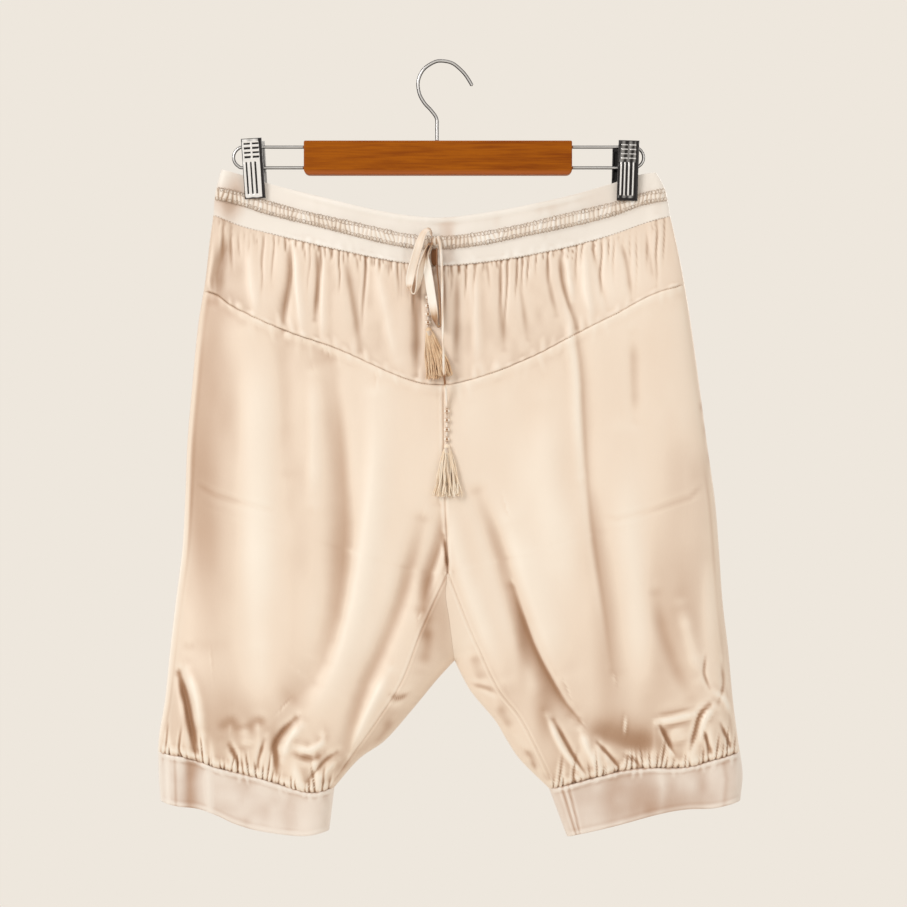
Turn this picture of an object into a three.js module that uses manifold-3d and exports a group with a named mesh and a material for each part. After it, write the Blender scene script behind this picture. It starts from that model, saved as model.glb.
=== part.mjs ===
// Gathered satin pantaloons, knee length, clipped to a wooden hanger.
// Millimetres, +Z up, front towards -Y. The origin is where a rail bears on the hook.
// The cloth hangs nearly flat: front and back are two curved sheets that meet at the sides.
import * as THREE from "three";
import { mergeVertices } from "three/addons/utils/BufferGeometryUtils.js";
import Module from "manifold-3d";

const wasm = await Module();
wasm.setup();

// ---------------------------------------------------------------- driving dimensions
const CLOTH = 1.2; // wall of every cloth piece
const SEAM = 0.3; // gap left between pieces at a seam or a contact
const CROSS_SEAM = 0.4; // the same where two sheets with different columns meet
const FRONT = -1;
const BACK = 1;

// The outline, from the top edge down: side edges, how far the cloth stands out from
// the middle plane, and how wide the turn is at the side and at the inner fold.
const LEVELS = [
  { z: -92, left: -191.5, right: 184, depth: 9, sideTurn: 12, foldTurn: 60 },
  { z: -107.5, left: -196, right: 193, depth: 9, sideTurn: 13, foldTurn: 60 },
  { z: -120, left: -198, right: 196.5, depth: 9, sideTurn: 14, foldTurn: 60 },
  { z: -133, left: -199, right: 198.5, depth: 9.5, sideTurn: 16, foldTurn: 60 },
  { z: -155, left: -202, right: 203.5, depth: 10.5, sideTurn: 24, foldTurn: 60 },
  { z: -190, left: -206, right: 210.5, depth: 13, sideTurn: 34, foldTurn: 60 },
  { z: -227, left: -212, right: 216.5, depth: 15.5, sideTurn: 42, foldTurn: 60 },
  { z: -278, left: -217, right: 223.5, depth: 18, sideTurn: 48, foldTurn: 60 },
  { z: -331, left: -221.5, right: 230.5, depth: 20, sideTurn: 52, foldTurn: 60 },
  { z: -381, left: -223.5, right: 237.5, depth: 21.5, sideTurn: 54, foldTurn: 60 },
  { z: -424, left: -226, right: 241, depth: 22.5, sideTurn: 54, foldTurn: 60 },
  { z: -468, left: -231.5, right: 244, depth: 23.5, sideTurn: 52, foldTurn: 58 },
  { z: -511, left: -236.5, right: 249, depth: 25, sideTurn: 48, foldTurn: 54 },
  { z: -554, left: -241, right: 253, depth: 27.5, sideTurn: 42, foldTurn: 44 },
  { z: -589, left: -246.5, right: 257.5, depth: 26, sideTurn: 30, foldTurn: 34 },
  { z: -618, left: -246.5, right: 261.5, depth: 18, sideTurn: 20, foldTurn: 20 },
  { z: -641, left: -245, right: 259.5, depth: 17, sideTurn: 18, foldTurn: 18 },
  { z: -675, left: -243, right: 257, depth: 17, sideTurn: 18, foldTurn: 18 },
];

// Heights of the lines that cross the waistband, from side to side.
const BAND = [
  { x: -200, top: -91, casingTop: -108.5, casingFoot: -118.5, waist: -132.5 },
  { x: -175, top: -97.5, casingTop: -113.5, casingFoot: -124, waist: -142.5 },
  { x: -150, top: -105.5, casingTop: -121.5, casingFoot: -132, waist: -149 },
  { x: -110, top: -116, casingTop: -132.5, casingFoot: -142, waist: -159 },
  { x: -66, top: -127, casingTop: -142.5, casingFoot: -153.5, waist: -169 },
  { x: -30, top: -133.5, casingTop: -150.5, casingFoot: -161, waist: -175.5 },
  { x: 0, top: -135.5, casingTop: -152.5, casingFoot: -162.5, waist: -177.5 },
  { x: 33, top: -132, casingTop: -149, casingFoot: -159, waist: -175 },
  { x: 70, top: -125.5, casingTop: -142, casingFoot: -151.5, waist: -169.5 },
  { x: 110, top: -116.5, casingTop: -132, casingFoot: -143, waist: -161 },
  { x: 150, top: -104.5, casingTop: -122, casingFoot: -132.5, waist: -149.5 },
  { x: 175, top: -97, casingTop: -114, casingFoot: -123.5, waist: -140.5 },
  { x: 200, top: -95, casingTop: -110, casingFoot: -119, waist: -133.5 },
];

const YOKE_SEAM = [
  { x: -210, z: -198.5 },
  { x: -197, z: -201.5 },
  { x: -183, z: -211.5 },
  { x: -158, z: -224 },
  { x: -129, z: -236 },
  { x: -94, z: -248 },
  { x: -66, z: -260.5 },
  { x: -44, z: -270.5 },
  { x: -20, z: -278.6 },
  { x: 0, z: -280.8 },
  { x: 16, z: -278.6 },
  { x: 40, z: -271.5 },
  { x: 80, z: -255.5 },
  { x: 115, z: -237 },
  { x: 150, z: -219.5 },
  { x: 181, z: -203 },
  { x: 212, z: -192.5 },
];

// The front seam from the yoke to the point where the four leg panels meet, and the back
// seam that comes round under the fold to that point.
const FRONT_SEAM = [
  { x: 1, z: -280.8 },
  { x: 1.5, z: -329 },
  { x: 2.5, z: -381 },
  { x: 5, z: -442.5 },
];
const BACK_SEAM_BEHIND = [
  { x: 1, z: -280.8 },
  { x: 3, z: -360 },
  { x: 7, z: -440 },
  { x: 11, z: -520 },
];
const BACK_SEAM_TURNED = [
  { x: 11, z: -520 },
  { x: 6.5, z: -484 },
  { x: 3.5, z: -463 },
  { x: 5, z: -443.5 },
];

// Each leg: the inseam that shows on the front, the inner fold, and the two cuff edges,
// the latter from the side to the inner end.
const LEGS = {
  left: {
    side: "left",
    inseam: [
      { x: 5, z: -442.5 },
      { x: -16.5, z: -489.5 },
      { x: -34.5, z: -536.5 },
      { x: -57, z: -572 },
      { x: -77, z: -600 },
      { x: -98, z: -630.5 },
    ],
    fold: [
      { x: 11, z: -520 },
      { x: -4.5, z: -537 },
      { x: -26, z: -563 },
      { x: -49.5, z: -589.5 },
      { x: -72, z: -605.5 },
      { x: -93.5, z: -630 },
    ],
    cuffSeam: [
      { x: -247, z: -598.5 },
      { x: -224, z: -602 },
      { x: -209, z: -606 },
      { x: -194, z: -611.5 },
      { x: -161, z: -619.5 },
      { x: -126.5, z: -630 },
      { x: -111.5, z: -633 },
      { x: -93.5, z: -630 },
    ],
    hem: [
      { x: -245, z: -641 },
      { x: -228.5, z: -645 },
      { x: -209, z: -647.5 },
      { x: -194, z: -653 },
      { x: -179, z: -660 },
      { x: -158, z: -666 },
      { x: -122, z: -670.5 },
      { x: -98, z: -667 },
    ],
  },
  right: {
    side: "right",
    inseam: [
      { x: 5, z: -442.5 },
      { x: 18.5, z: -478 },
      { x: 32, z: -510 },
      { x: 48.5, z: -544 },
      { x: 69.5, z: -572 },
      { x: 97.5, z: -629 },
    ],
    fold: [
      { x: 11, z: -520 },
      { x: 24.5, z: -546 },
      { x: 46, z: -572 },
      { x: 56.5, z: -589.5 },
      { x: 68.5, z: -607 },
      { x: 93, z: -631 },
    ],
    cuffSeam: [
      { x: 258.5, z: -598.5 },
      { x: 235, z: -604.5 },
      { x: 219.5, z: -609 },
      { x: 204, z: -611.5 },
      { x: 180.5, z: -611.5 },
      { x: 157.5, z: -613.5 },
      { x: 117, z: -624 },
      { x: 93, z: -631 },
    ],
    hem: [
      { x: 259.5, z: -641 },
      { x: 235, z: -646.5 },
      { x: 212, z: -647.5 },
      { x: 188.5, z: -651.5 },
      { x: 149.5, z: -662 },
      { x: 120, z: -669 },
      { x: 108.5, z: -672.5 },
    ],
  },
};

// The largest folds, each a soft ridge (height above 0) or trough through three places.
const FOLDS = [
  { face: FRONT, from: [-190, -215], via: [-193, -340], to: [-199, -467], width: 13, height: -3 },
  { face: FRONT, from: [-168, -235], via: [-164, -370], to: [-166, -510], width: 11, height: 2.5 },
  { face: FRONT, from: [-96, -290], via: [-91, -380], to: [-95, -485], width: 13, height: -3 },
  { face: FRONT, from: [-58, -294], via: [-76, -468], to: [-119, -563], width: 15, height: 4 },
  { face: FRONT, from: [-28, -430], via: [-43, -502], to: [-86, -600], width: 12, height: -4 },
  { face: FRONT, from: [-2, -345], via: [-2, -400], to: [3, -450], width: 9, height: -3 },
  { face: FRONT, from: [-228, -528], via: [-220, -562], to: [-213, -596], width: 6, height: -3 },
  { face: FRONT, from: [12, -389], via: [26, -440], to: [40, -489], width: 12, height: 3 },
  { face: FRONT, from: [31, -376], via: [64, -458], to: [107, -565], width: 14, height: -5 },
  { face: FRONT, from: [70, -508], via: [97, -550], to: [122, -588], width: 9, height: 3 },
  { face: FRONT, from: [117, -215], via: [124, -330], to: [139, -533], width: 9, height: -2.5 },
  { face: FRONT, from: [162, -390], via: [167, -470], to: [174, -545], width: 14, height: 2.5 },
  { face: FRONT, from: [200, -470], via: [206, -520], to: [207, -556], width: 10, height: -2.5 },
  { face: FRONT, from: [182, -570], via: [200, -567], to: [218, -565], width: 7, height: 3 },
  { face: BACK, from: [-160, -230], via: [-172, -360], to: [-182, -520], width: 14, height: -3 },
  { face: BACK, from: [-95, -270], via: [-104, -400], to: [-128, -560], width: 15, height: 3.5 },
  { face: BACK, from: [-40, -330], via: [-52, -440], to: [-92, -580], width: 13, height: -4 },
  { face: BACK, from: [4, -320], via: [5, -400], to: [8, -470], width: 10, height: -3 },
  { face: BACK, from: [45, -330], via: [62, -450], to: [100, -570], width: 14, height: -4 },
  { face: BACK, from: [102, -260], via: [116, -400], to: [140, -560], width: 15, height: 3.5 },
  { face: BACK, from: [170, -225], via: [186, -370], to: [200, -540], width: 14, height: -3 },
];
const FOLD_STEPS = 12;
const FOLD_EDGE_FADE = 26; // folds die out this far from the side edges and inner folds

// Gathers: a column of the sheet for each crest and each valley.
const YOKE_GATHERS = 30;
const YOKE_GATHER_HEIGHTS = [
  { down: 0, height: 1.2 },
  { down: 0.2, height: 1.9 },
  { down: 0.55, height: 1 },
  { down: 1, height: 0 },
];
const YOKE_EASE = 5; // columns over which the gathers grow from a side edge
const LEG_COLUMNS = 20;
const LEG_ROWS_ABOVE_CROTCH = 5;
const INSEAM_ROWS = 6;
const CUFF_GATHER_HEIGHT = 1.7;
const CUFF_GATHER_START = 0.86; // share of the leg's height where the gathers begin
const CUFF_EASE = 3; // columns over which the gathers grow from an edge
const BAND_COLUMNS = 24;
const RIB_PITCH = 7; // rounds to two ribs for each column of the band
const RIB_HEIGHT = 1.1;
const CASING_CLOTH = 1;

// Pocket bags hang from the yoke seam behind the front panels.
const POCKET_LAYER = 1;
const POCKETS = [
  { name: "pocket_bag_left", leg: "left", firstColumn: 3, lastColumn: 9, lastRow: 6 },
  { name: "pocket_bag_right", leg: "right", firstColumn: 3, lastColumn: 9, lastRow: 6 },
];

// Hanger.
const BAR = { left: -120, right: 113, top: -68.3, foot: -98, depth: 13, corner: 5 };
const HOOK = { wire: 1.5, radius: 21, shankX: -4.4, sides: 8, steps: 26 };
const HOOK_NECK = [
  { x: -4.4, z: -57 },
  { x: -4.8, z: -48.5 },
  { x: -9.5, z: -41.5 },
  { x: -15.4, z: -35 },
];
const HOOK_ARC = [200, 170, 140, 110, 90, 65, 40]; // degrees round the hook's centre
const HOOK_TIP = [
  { x: 21.2, z: -11.8 },
  { x: 26, z: -19.6 },
];
const LOOP_WIRE = { radius: 1.15, top: -73.5, foot: -91.5, sides: 6, steps: 22 };
const LOOPS = [
  { name: "wire_loop_left", end: -180, bar: BAR.left, towards: -1 },
  { name: "wire_loop_right", end: 174, bar: BAR.right, towards: 1 },
];
const CLIP = { width: 20, height: 54, plate: 1.4, top: -67.5, lean: 0.07, grip: 1.6 };
const CLIPS = [
  { side: "left", x: -163.5, tilt: -0.09 },
  { side: "right", x: 162.5, tilt: 0.03 },
];
const CLIP_REACH = 13; // the band is pressed flat this far to each side of a clip
const BAND_OPENING = { between: 9, outside: 4 }; // half depth clear of the clips
const BAND_EASE = { between: 75, outside: 14 }; // length over which it opens
const CLIP_RAISED = { depth: 0.9, sunk: 0.1 };
const CLIP_BARS = { rows: 4, x: 4.2, width: 6.2, height: 1.9, top: -4.5, pitch: 4.1 };
const CLIP_RIBS = { count: 4, pitch: 4.4, width: 2, height: 31, z: -36 };
const CLIP_EAR = { thickness: 1.2, depth: 5.4, height: 24, behind: 2.5, z: -15.5 };
const CLIP_JAW = { half: 4, inset: 2, z: -41, slack: 0.1 };
const CLIP_SPRING = { radius: 3.4, inset: 3, sides: 10 };

// Drawstring: a satin ribbon with loops, thread-covered beads and tassels.
const RIBBON = { width: 7.5, thickness: 1.1 };
const CORD = { width: 4, thickness: 2, sides: 8, steps: 16 };
const THREAD = { radius: 0.6, sides: 6, steps: 9 };
const BEAD = { radius: 2.1, bore: 1, cap: 55, sides: 6 };
const TASSEL = { strands: 18, length: 43, spread: 26, depth: 7, strand: 0.6, head: 3 };
const TASSEL_ROOT = { across: 0.55, through: 0.5, drop: 1.3 }; // shares of the head
const TASSEL_KNEE = { across: 0.42, through: 0.55, down: 0.45 }; // shares of the strand
const TASSEL_RISE = 1.5; // the outer strands end this much higher

// ---------------------------------------------------------------- finishes
const finish = (color, roughness, metalness) => ({ color, roughness, metalness });
const SATIN = finish("#ecd6bd", 0.42, 0);
const SATIN_BAND = finish("#f3e4d4", 0.42, 0);
const SATIN_RIBBON = finish("#efdcc6", 0.4, 0);
const TASSEL_THREAD = finish("#dfc6a0", 0.6, 0);
const WOOD = finish("#98521a", 0.38, 0);
const CHROME = finish("#c9cbcd", 0.18, 1);
const STEEL_WIRE = finish("#a9abad", 0.25, 1);

const group = new THREE.Group();

function addMesh(name, geometry, look) {
  const mesh = new THREE.Mesh(geometry, new THREE.MeshStandardMaterial(look));
  mesh.name = name;
  group.add(mesh);
  return mesh;
}

// ---------------------------------------------------------------- curves and fields
const clamp01 = (t) => Math.min(1, Math.max(0, t));
const mix = (a, b, t) => a + (b - a) * t;
const smooth = (t) => {
  const s = clamp01(t);
  return s * s * (3 - 2 * s);
};

// Cubic curve through a table's rows: the value of one column at a place in another.
function reading(table, place, column) {
  const rows = [...table].sort((a, b) => a[place] - b[place]);
  const slope = rows.map((row, i) => {
    const before = rows[Math.max(0, i - 1)];
    const after = rows[Math.min(rows.length - 1, i + 1)];
    return (after[column] - before[column]) / (after[place] - before[place]);
  });
  return (at) => {
    let i = rows.findIndex((row) => row[place] > at) - 1;
    if (i < 0) {
      i = at <= rows[0][place] ? 0 : rows.length - 2;
    }
    const span = rows[i + 1][place] - rows[i][place];
    const t = clamp01((at - rows[i][place]) / span);
    const t2 = t * t;
    const t3 = t2 * t;
    return (
      (2 * t3 - 3 * t2 + 1) * rows[i][column] +
      (t3 - 2 * t2 + t) * span * slope[i] +
      (3 * t2 - 2 * t3) * rows[i + 1][column] +
      (t3 - t2) * span * slope[i + 1]
    );
  };
}

const edgeX = {
  left: reading(LEVELS, "z", "left"),
  right: reading(LEVELS, "z", "right"),
};
const depthAt = reading(LEVELS, "z", "depth");
const sideTurnAt = reading(LEVELS, "z", "sideTurn");
const foldTurnAt = reading(LEVELS, "z", "foldTurn");
const bandTopZ = reading(BAND, "x", "top");
const casingTopZ = reading(BAND, "x", "casingTop");
const casingFootZ = reading(BAND, "x", "casingFoot");
const waistZ = reading(BAND, "x", "waist");
const yokeSeamZ = reading(YOKE_SEAM, "x", "z");

const at2 = (x, z) => new THREE.Vector2(x, z);

// A line that crosses the garment from side edge to side edge: t runs 0 to 1 left to right.
const END_PASSES = 4; // each pass brings a line's end closer to the side edge
function crossLine(heightAt) {
  const ends = ["left", "right"].map((side) => {
    let z = heightAt(side === "left" ? LEVELS[0].left : LEVELS[0].right);
    for (let pass = 0; pass < END_PASSES; pass += 1) {
      z = heightAt(edgeX[side](z));
    }
    return edgeX[side](z);
  });
  return (t) => {
    const x = mix(ends[0], ends[1], t);
    return at2(x, heightAt(x));
  };
}

// A smooth line through the rows of a short table, by share of its length.
function throughRows(rows) {
  const spline = new THREE.SplineCurve(rows.map((row) => at2(row.x, row.z)));
  return (t) => spline.getPointAt(clamp01(t));
}

const sideLine = (side, fromZ, toZ) => (t) => {
  const z = mix(fromZ, toZ, t);
  return at2(edgeX[side](z), z);
};

// The sheet inside four lines that share their corners.
function patch(top, foot, first, last) {
  const corners = [top(0), top(1), foot(0), foot(1)];
  return (u, v) => {
    const across = top(u).multiplyScalar(1 - v).add(foot(u).multiplyScalar(v));
    const down = first(v).multiplyScalar(1 - u).add(last(v).multiplyScalar(u));
    const bilinear = at2(0, 0)
      .addScaledVector(corners[0], (1 - u) * (1 - v))
      .addScaledVector(corners[1], u * (1 - v))
      .addScaledVector(corners[2], (1 - u) * v)
      .addScaledVector(corners[3], u * v);
    return across.add(down).sub(bilinear);
  };
}

function distanceToLine(point, line) {
  let nearest = Infinity;
  for (let i = 0; i + 1 < line.length; i += 1) {
    const along = line[i + 1].clone().sub(line[i]);
    const t = clamp01(point.clone().sub(line[i]).dot(along) / along.lengthSq());
    nearest = Math.min(nearest, point.distanceTo(line[i].clone().addScaledVector(along, t)));
  }
  return nearest;
}

const OUTLINE_STEPS = 20;
for (const leg of Object.values(LEGS)) {
  leg.inseamLine = throughRows(leg.inseam);
  leg.foldLine = throughRows(leg.fold);
  leg.seamLine = throughRows(leg.cuffSeam);
  leg.hemLine = throughRows(leg.hem);
  leg.seamZ = reading(leg.cuffSeam, "x", "z");
  const innerHem = leg.hem[leg.hem.length - 1];
  leg.innerOutline = [];
  for (let i = 0; i <= OUTLINE_STEPS; i += 1) {
    leg.innerOutline.push(leg.foldLine(i / OUTLINE_STEPS));
  }
  leg.innerOutline.push(at2(innerHem.x, innerHem.z));
}
const CROTCH_X = BACK_SEAM_BEHIND[BACK_SEAM_BEHIND.length - 1].x;
const legAt = (x) => (x < CROTCH_X ? LEGS.left : LEGS.right);

// The height that a place on a leg has in the table of levels: the puff above the cuff
// follows the slanting cuff seam.
const PUFF_FROM = -480;
const CUFF_LEVEL = -610;
const INNER_FOLD_FROM = -420; // the inner folds shape the cloth below this height
function levelOf(x, z) {
  if (z > PUFF_FROM) {
    return z;
  }
  const seam = legAt(x).seamZ(x);
  if (z < seam) {
    return CUFF_LEVEL + (z - seam);
  }
  return mix(CUFF_LEVEL, PUFF_FROM, (z - seam) / (PUFF_FROM - seam));
}

// A quarter-ellipse turn: 0 at the edge, 1 once past the turn's width.
const turn = (distance, width) => Math.sqrt(1 - (1 - clamp01(distance / width)) ** 2);

// Half depth that the two clips leave the band.
function bandDepth(x) {
  let depth = BAND_OPENING.between;
  for (const clip of CLIPS) {
    const outwards = Math.sign(clip.x) * (x - clip.x);
    const away = Math.abs(outwards) - CLIP_REACH;
    const place = outwards > 0 ? "outside" : "between";
    const opened = smooth(away / BAND_EASE[place]);
    depth = Math.min(depth, mix(CLIP.grip, BAND_OPENING[place], opened));
  }
  return depth;
}
const PRESSED_TO = -128; // height down to which the clips keep the cloth flat
const PRESS_FADE = 85;

const foldLines = FOLDS.map((fold) => {
  const spline = new THREE.SplineCurve([fold.from, fold.via, fold.to].map((p) => at2(...p)));
  return { ...fold, points: spline.getSpacedPoints(FOLD_STEPS) };
});

function foldHeight(face, point) {
  let height = 0;
  for (const fold of foldLines.filter((row) => row.face === face)) {
    const away = distanceToLine(point, fold.points) / fold.width;
    height += fold.height * Math.exp(-away * away);
  }
  return height;
}

// How far the outer face of the cloth stands from the middle plane.
function standOff(face, x, z) {
  const level = levelOf(x, z);
  const point = at2(x, z);
  const fromSide = Math.max(0, Math.min(x - edgeX.left(z), edgeX.right(z) - x));
  const folded = z < INNER_FOLD_FROM;
  const fromFold = folded ? distanceToLine(point, legAt(x).innerOutline) : Infinity;
  const pressed = smooth((PRESSED_TO - z) / PRESS_FADE);
  const body = mix(bandDepth(x), depthAt(level), pressed);
  const shape = turn(fromSide, sideTurnAt(level)) * turn(fromFold, foldTurnAt(level));
  const fade = smooth(Math.min(fromSide, fromFold) / FOLD_EDGE_FADE);
  return body * shape + foldHeight(face, point) * fade;
}

const SLOPE_STEP = 0.6;
function outwardNormal(face, x, z) {
  const rise = (dx, dz) => standOff(face, x + dx * SLOPE_STEP, z + dz * SLOPE_STEP);
  const slopeX = (rise(1, 0) - rise(-1, 0)) / (2 * SLOPE_STEP);
  const slopeZ = (rise(0, 1) - rise(0, -1)) / (2 * SLOPE_STEP);
  return new THREE.Vector3(-slopeX, face, -slopeZ).normalize();
}

// ---------------------------------------------------------------- cloth walls
// A wall has corners { outer, normal } and four-cornered faces.
class ClothWall {
  constructor() {
    this.corners = [];
    this.faces = [];
  }

  add(outer, normal) {
    this.corners.push({ outer, normal });
    return this.corners.length - 1;
  }

  // Rows of corner numbers, joined into faces.
  weave(rows) {
    for (let j = 0; j + 1 < rows.length; j += 1) {
      for (let i = 0; i + 1 < rows[j].length; i += 1) {
        this.faces.push([rows[j][i], rows[j + 1][i], rows[j + 1][i + 1], rows[j][i + 1]]);
      }
    }
  }

  // Faces run so that they look along the corners' normals.
  facesOutwards() {
    let sum = 0;
    for (const [a, b, c] of this.faces) {
      const [p, q, r] = [a, b, c].map((corner) => this.corners[corner].outer);
      const cross = q.clone().sub(p).cross(r.clone().sub(p));
      sum += cross.dot(this.corners[a].normal);
    }
    return sum > 0 ? this.faces : this.faces.map((face) => [...face].reverse());
  }

  geometry(thickness = CLOTH) {
    const count = this.corners.length;
    const position = [];
    for (const { outer } of this.corners) {
      position.push(...outer.toArray());
    }
    for (const { outer, normal } of this.corners) {
      position.push(...outer.clone().addScaledVector(normal, -thickness).toArray());
    }
    const index = [];
    const rim = new Map();
    for (const [a, b, c, d] of this.facesOutwards()) {
      index.push(a, b, c, a, c, d);
      index.push(a + count, c + count, b + count, a + count, d + count, c + count);
      for (const [p, q] of [[a, b], [b, c], [c, d], [d, a]]) {
        if (!rim.delete(`${q}_${p}`)) {
          rim.set(`${p}_${q}`, [p, q]);
        }
      }
    }
    for (const [p, q] of rim.values()) {
      index.push(q, p, p + count, q, p + count, q + count);
    }
    return closedGeometry(position, index);
  }
}

function closedGeometry(position, index) {
  const geometry = new THREE.BufferGeometry();
  geometry.setAttribute("position", new THREE.Float32BufferAttribute(position, 3));
  geometry.setIndex(index);
  geometry.computeVertexNormals();
  return geometry;
}

// Gathers are lower where the clips press front and back together.
const FLAT_DEPTH = 1.8;
const GATHER_ROOM = 4;

// Where a sheet ends at a side edge or the inner fold it stands square to the middle plane,
// and the wall's edge is level along a seam that crosses the garment.
function clothCorner(wall, face, point, options = {}) {
  const { raise = 0, edge = null, shift = null, level = false } = options;
  const plain = standOff(face, point.x, point.y);
  const gathered = plain + raise * smooth((plain - FLAT_DEPTH) / GATHER_ROOM);
  const outer = new THREE.Vector3(point.x, face * (edge ? SEAM / 2 : gathered), point.y);
  if (shift) {
    outer.x += shift.x;
    outer.z += shift.y;
  }
  const normal = edge
    ? new THREE.Vector3(edge.x, 0, edge.y).normalize()
    : outwardNormal(face, point.x, point.y);
  if (level) {
    normal.z = 0;
    normal.normalize();
  }
  return wall.add(outer, normal);
}

const SIDEWAYS = { left: at2(-1, 0), right: at2(1, 0) };

// Columns crowd towards a rounded edge, where the cloth turns fastest.
const CROWDING = 0.72;
function columns(count, crowdLast) {
  const places = [];
  for (let i = 0; i <= count; i += 1) {
    const t = i / count;
    const crowded = crowdLast ? (1 - Math.cos(Math.PI * t)) / 2 : 1 - Math.cos((Math.PI * t) / 2);
    places.push(mix(t, crowded, CROWDING));
  }
  return places;
}

// ---------------------------------------------------------------- waistband and casing
const EDGE_COLUMN = 0.014; // share of the width, for the turn at each side edge
function bandColumns() {
  const places = [0, EDGE_COLUMN];
  for (let i = 1; i < BAND_COLUMNS; i += 1) {
    places.push(i / BAND_COLUMNS);
  }
  return [...places, 1 - EDGE_COLUMN, 1];
}

const edgeOf = (i, last) => {
  if (i === 0) {
    return SIDEWAYS.left;
  }
  return i === last ? SIDEWAYS.right : null;
};

// Rows of cloth corners along lines that cross the garment.
function crossRows(wall, face, lines, places, raiseAt = () => 0) {
  return lines.map((line, j) =>
    places.map((place, i) =>
      clothCorner(wall, face, line(place), {
        raise: raiseAt(i, j),
        edge: edgeOf(i, places.length - 1),
        level: j === 0 || j === lines.length - 1,
      }),
    ),
  );
}

// Each band is cut in two halves that meet at the centre, behind the bow.
function bandHalf(wall, rows, side) {
  const half = new ClothWall();
  const middle = (rows[0].length - 1) / 2;
  const onLeft = side === "left";
  const halfRows = rows.map((row) => {
    const part = onLeft ? row.slice(0, middle + 1) : row.slice(middle);
    const seamColumn = onLeft ? part.length - 1 : 0;
    return part.map((number, i) => {
      const { outer, normal } = wall.corners[number];
      const place = outer.clone();
      if (i === seamColumn) {
        place.x += ((onLeft ? -1 : 1) * SEAM) / 2;
      }
      return half.add(place, normal);
    });
  });
  half.weave(halfRows);
  return half;
}

function makeBand(face, name) {
  const wall = new ClothWall();
  const lines = [bandTopZ, casingTopZ, casingFootZ, waistZ].map(crossLine);
  const rows = crossRows(wall, face, lines, bandColumns());
  for (const side of ["left", "right"]) {
    addMesh(`waistband_${name}_${side}`, bandHalf(wall, rows, side).geometry(), SATIN_BAND);
  }
  return { wall, rows };
}

// The casing lies on the band's two middle rows; its outer face is raised in ribs.
function makeCasing(band, face, name) {
  const [topRow, footRow] = [band.rows[1], band.rows[2]].map((row) =>
    row.map((corner) => {
      const { outer, normal } = band.wall.corners[corner];
      return { seat: outer.clone().addScaledVector(normal, SEAM), normal };
    }),
  );
  const last = topRow.length - 1;
  const level = face * (SEAM / 2);
  for (const row of [topRow, footRow]) {
    row[0].seat.y = level;
    row[last].seat.y = level;
  }
  const rowOutline = (row) => {
    const line = [];
    for (let i = 0; i < last; i += 1) {
      const steps = Math.max(2, 2 * Math.round(row[i].seat.distanceTo(row[i + 1].seat) / RIB_PITCH));
      for (let k = 0; k < steps; k += 1) {
        line.push({ i, t: k / steps, crest: k % 2 });
      }
    }
    return line;
  };
  const outline = rowOutline(topRow);
  const raised = (row, { i, t, crest }) => {
    const seat = row[i].seat.clone().lerp(row[i + 1].seat, t);
    const normal = row[i].normal.clone().lerp(row[i + 1].normal, t).normalize();
    return seat.addScaledVector(normal, CASING_CLOTH + crest * RIB_HEIGHT);
  };
  const position = [];
  const put = (point) => {
    position.push(...point.toArray());
    return position.length / 3 - 1;
  };
  const ending = (row) => row[last].seat.clone().addScaledVector(row[last].normal, CASING_CLOTH);
  const outerTop = [...outline.map((step) => put(raised(topRow, step))), put(ending(topRow))];
  const outerFoot = [...outline.map((step) => put(raised(footRow, step))), put(ending(footRow))];
  const innerTop = topRow.map(({ seat }) => put(seat));
  const innerFoot = footRow.map(({ seat }) => put(seat));
  const index = [];
  const quad = (a, b, c, d) => index.push(a, b, c, a, c, d);
  for (let k = 0; k + 1 < outerTop.length; k += 1) {
    quad(outerTop[k], outerFoot[k], outerFoot[k + 1], outerTop[k + 1]);
  }
  for (let i = 0; i < last; i += 1) {
    quad(innerTop[i + 1], innerFoot[i + 1], innerFoot[i], innerTop[i]);
  }
  // The long edges join many outer corners to few inner ones, as a fan for each segment.
  const fan = (outerRow, innerRow, flip) => {
    const tri = (a, b, c) => (flip ? index.push(a, c, b) : index.push(a, b, c));
    outline.forEach(({ i }, k) => {
      tri(outerRow[k], outerRow[k + 1], innerRow[i]);
      const segmentEnds = k + 1 === outline.length || outline[k + 1].i !== i;
      if (segmentEnds) {
        tri(outerRow[k + 1], innerRow[i + 1], innerRow[i]);
      }
    });
  };
  fan(outerTop, innerTop, false);
  fan(outerFoot, innerFoot, true);
  quad(outerTop[0], innerTop[0], innerFoot[0], outerFoot[0]);
  quad(outerFoot.at(-1), innerFoot.at(-1), innerTop.at(-1), outerTop.at(-1));
  if (face === BACK) {
    for (let k = 0; k < index.length; k += 3) {
      [index[k + 1], index[k + 2]] = [index[k + 2], index[k + 1]];
    }
  }
  addMesh(`casing_${name}`, closedGeometry(position, index), SATIN_BAND);
}

// ---------------------------------------------------------------- hip yoke
function makeYoke(face, name) {
  const wall = new ClothWall();
  const top = crossLine(waistZ);
  const foot = crossLine(yokeSeamZ);
  const [topLeft, footLeft] = [top(0), foot(0)];
  const [topRight, footRight] = [top(1), foot(1)];
  const sheet = patch(
    top,
    foot,
    sideLine("left", topLeft.y, footLeft.y),
    sideLine("right", topRight.y, footRight.y),
  );
  const places = [];
  for (let i = 0; i <= 2 * YOKE_GATHERS; i += 1) {
    places.push(i / (2 * YOKE_GATHERS));
  }
  const lines = YOKE_GATHER_HEIGHTS.map(({ down }, j) => (u) => {
    const point = sheet(u, down);
    return j === 0 ? point.sub(at2(0, CROSS_SEAM)) : point;
  });
  const ease = (i) => smooth(Math.min(i, places.length - 1 - i) / YOKE_EASE);
  const raiseAt = (i, j) => YOKE_GATHER_HEIGHTS[j].height * (i % 2 ? 1 : -1) * ease(i);
  wall.weave(crossRows(wall, face, lines, places, raiseAt));
  addMesh(`yoke_${name}`, wall.geometry(), SATIN);
}

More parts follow.
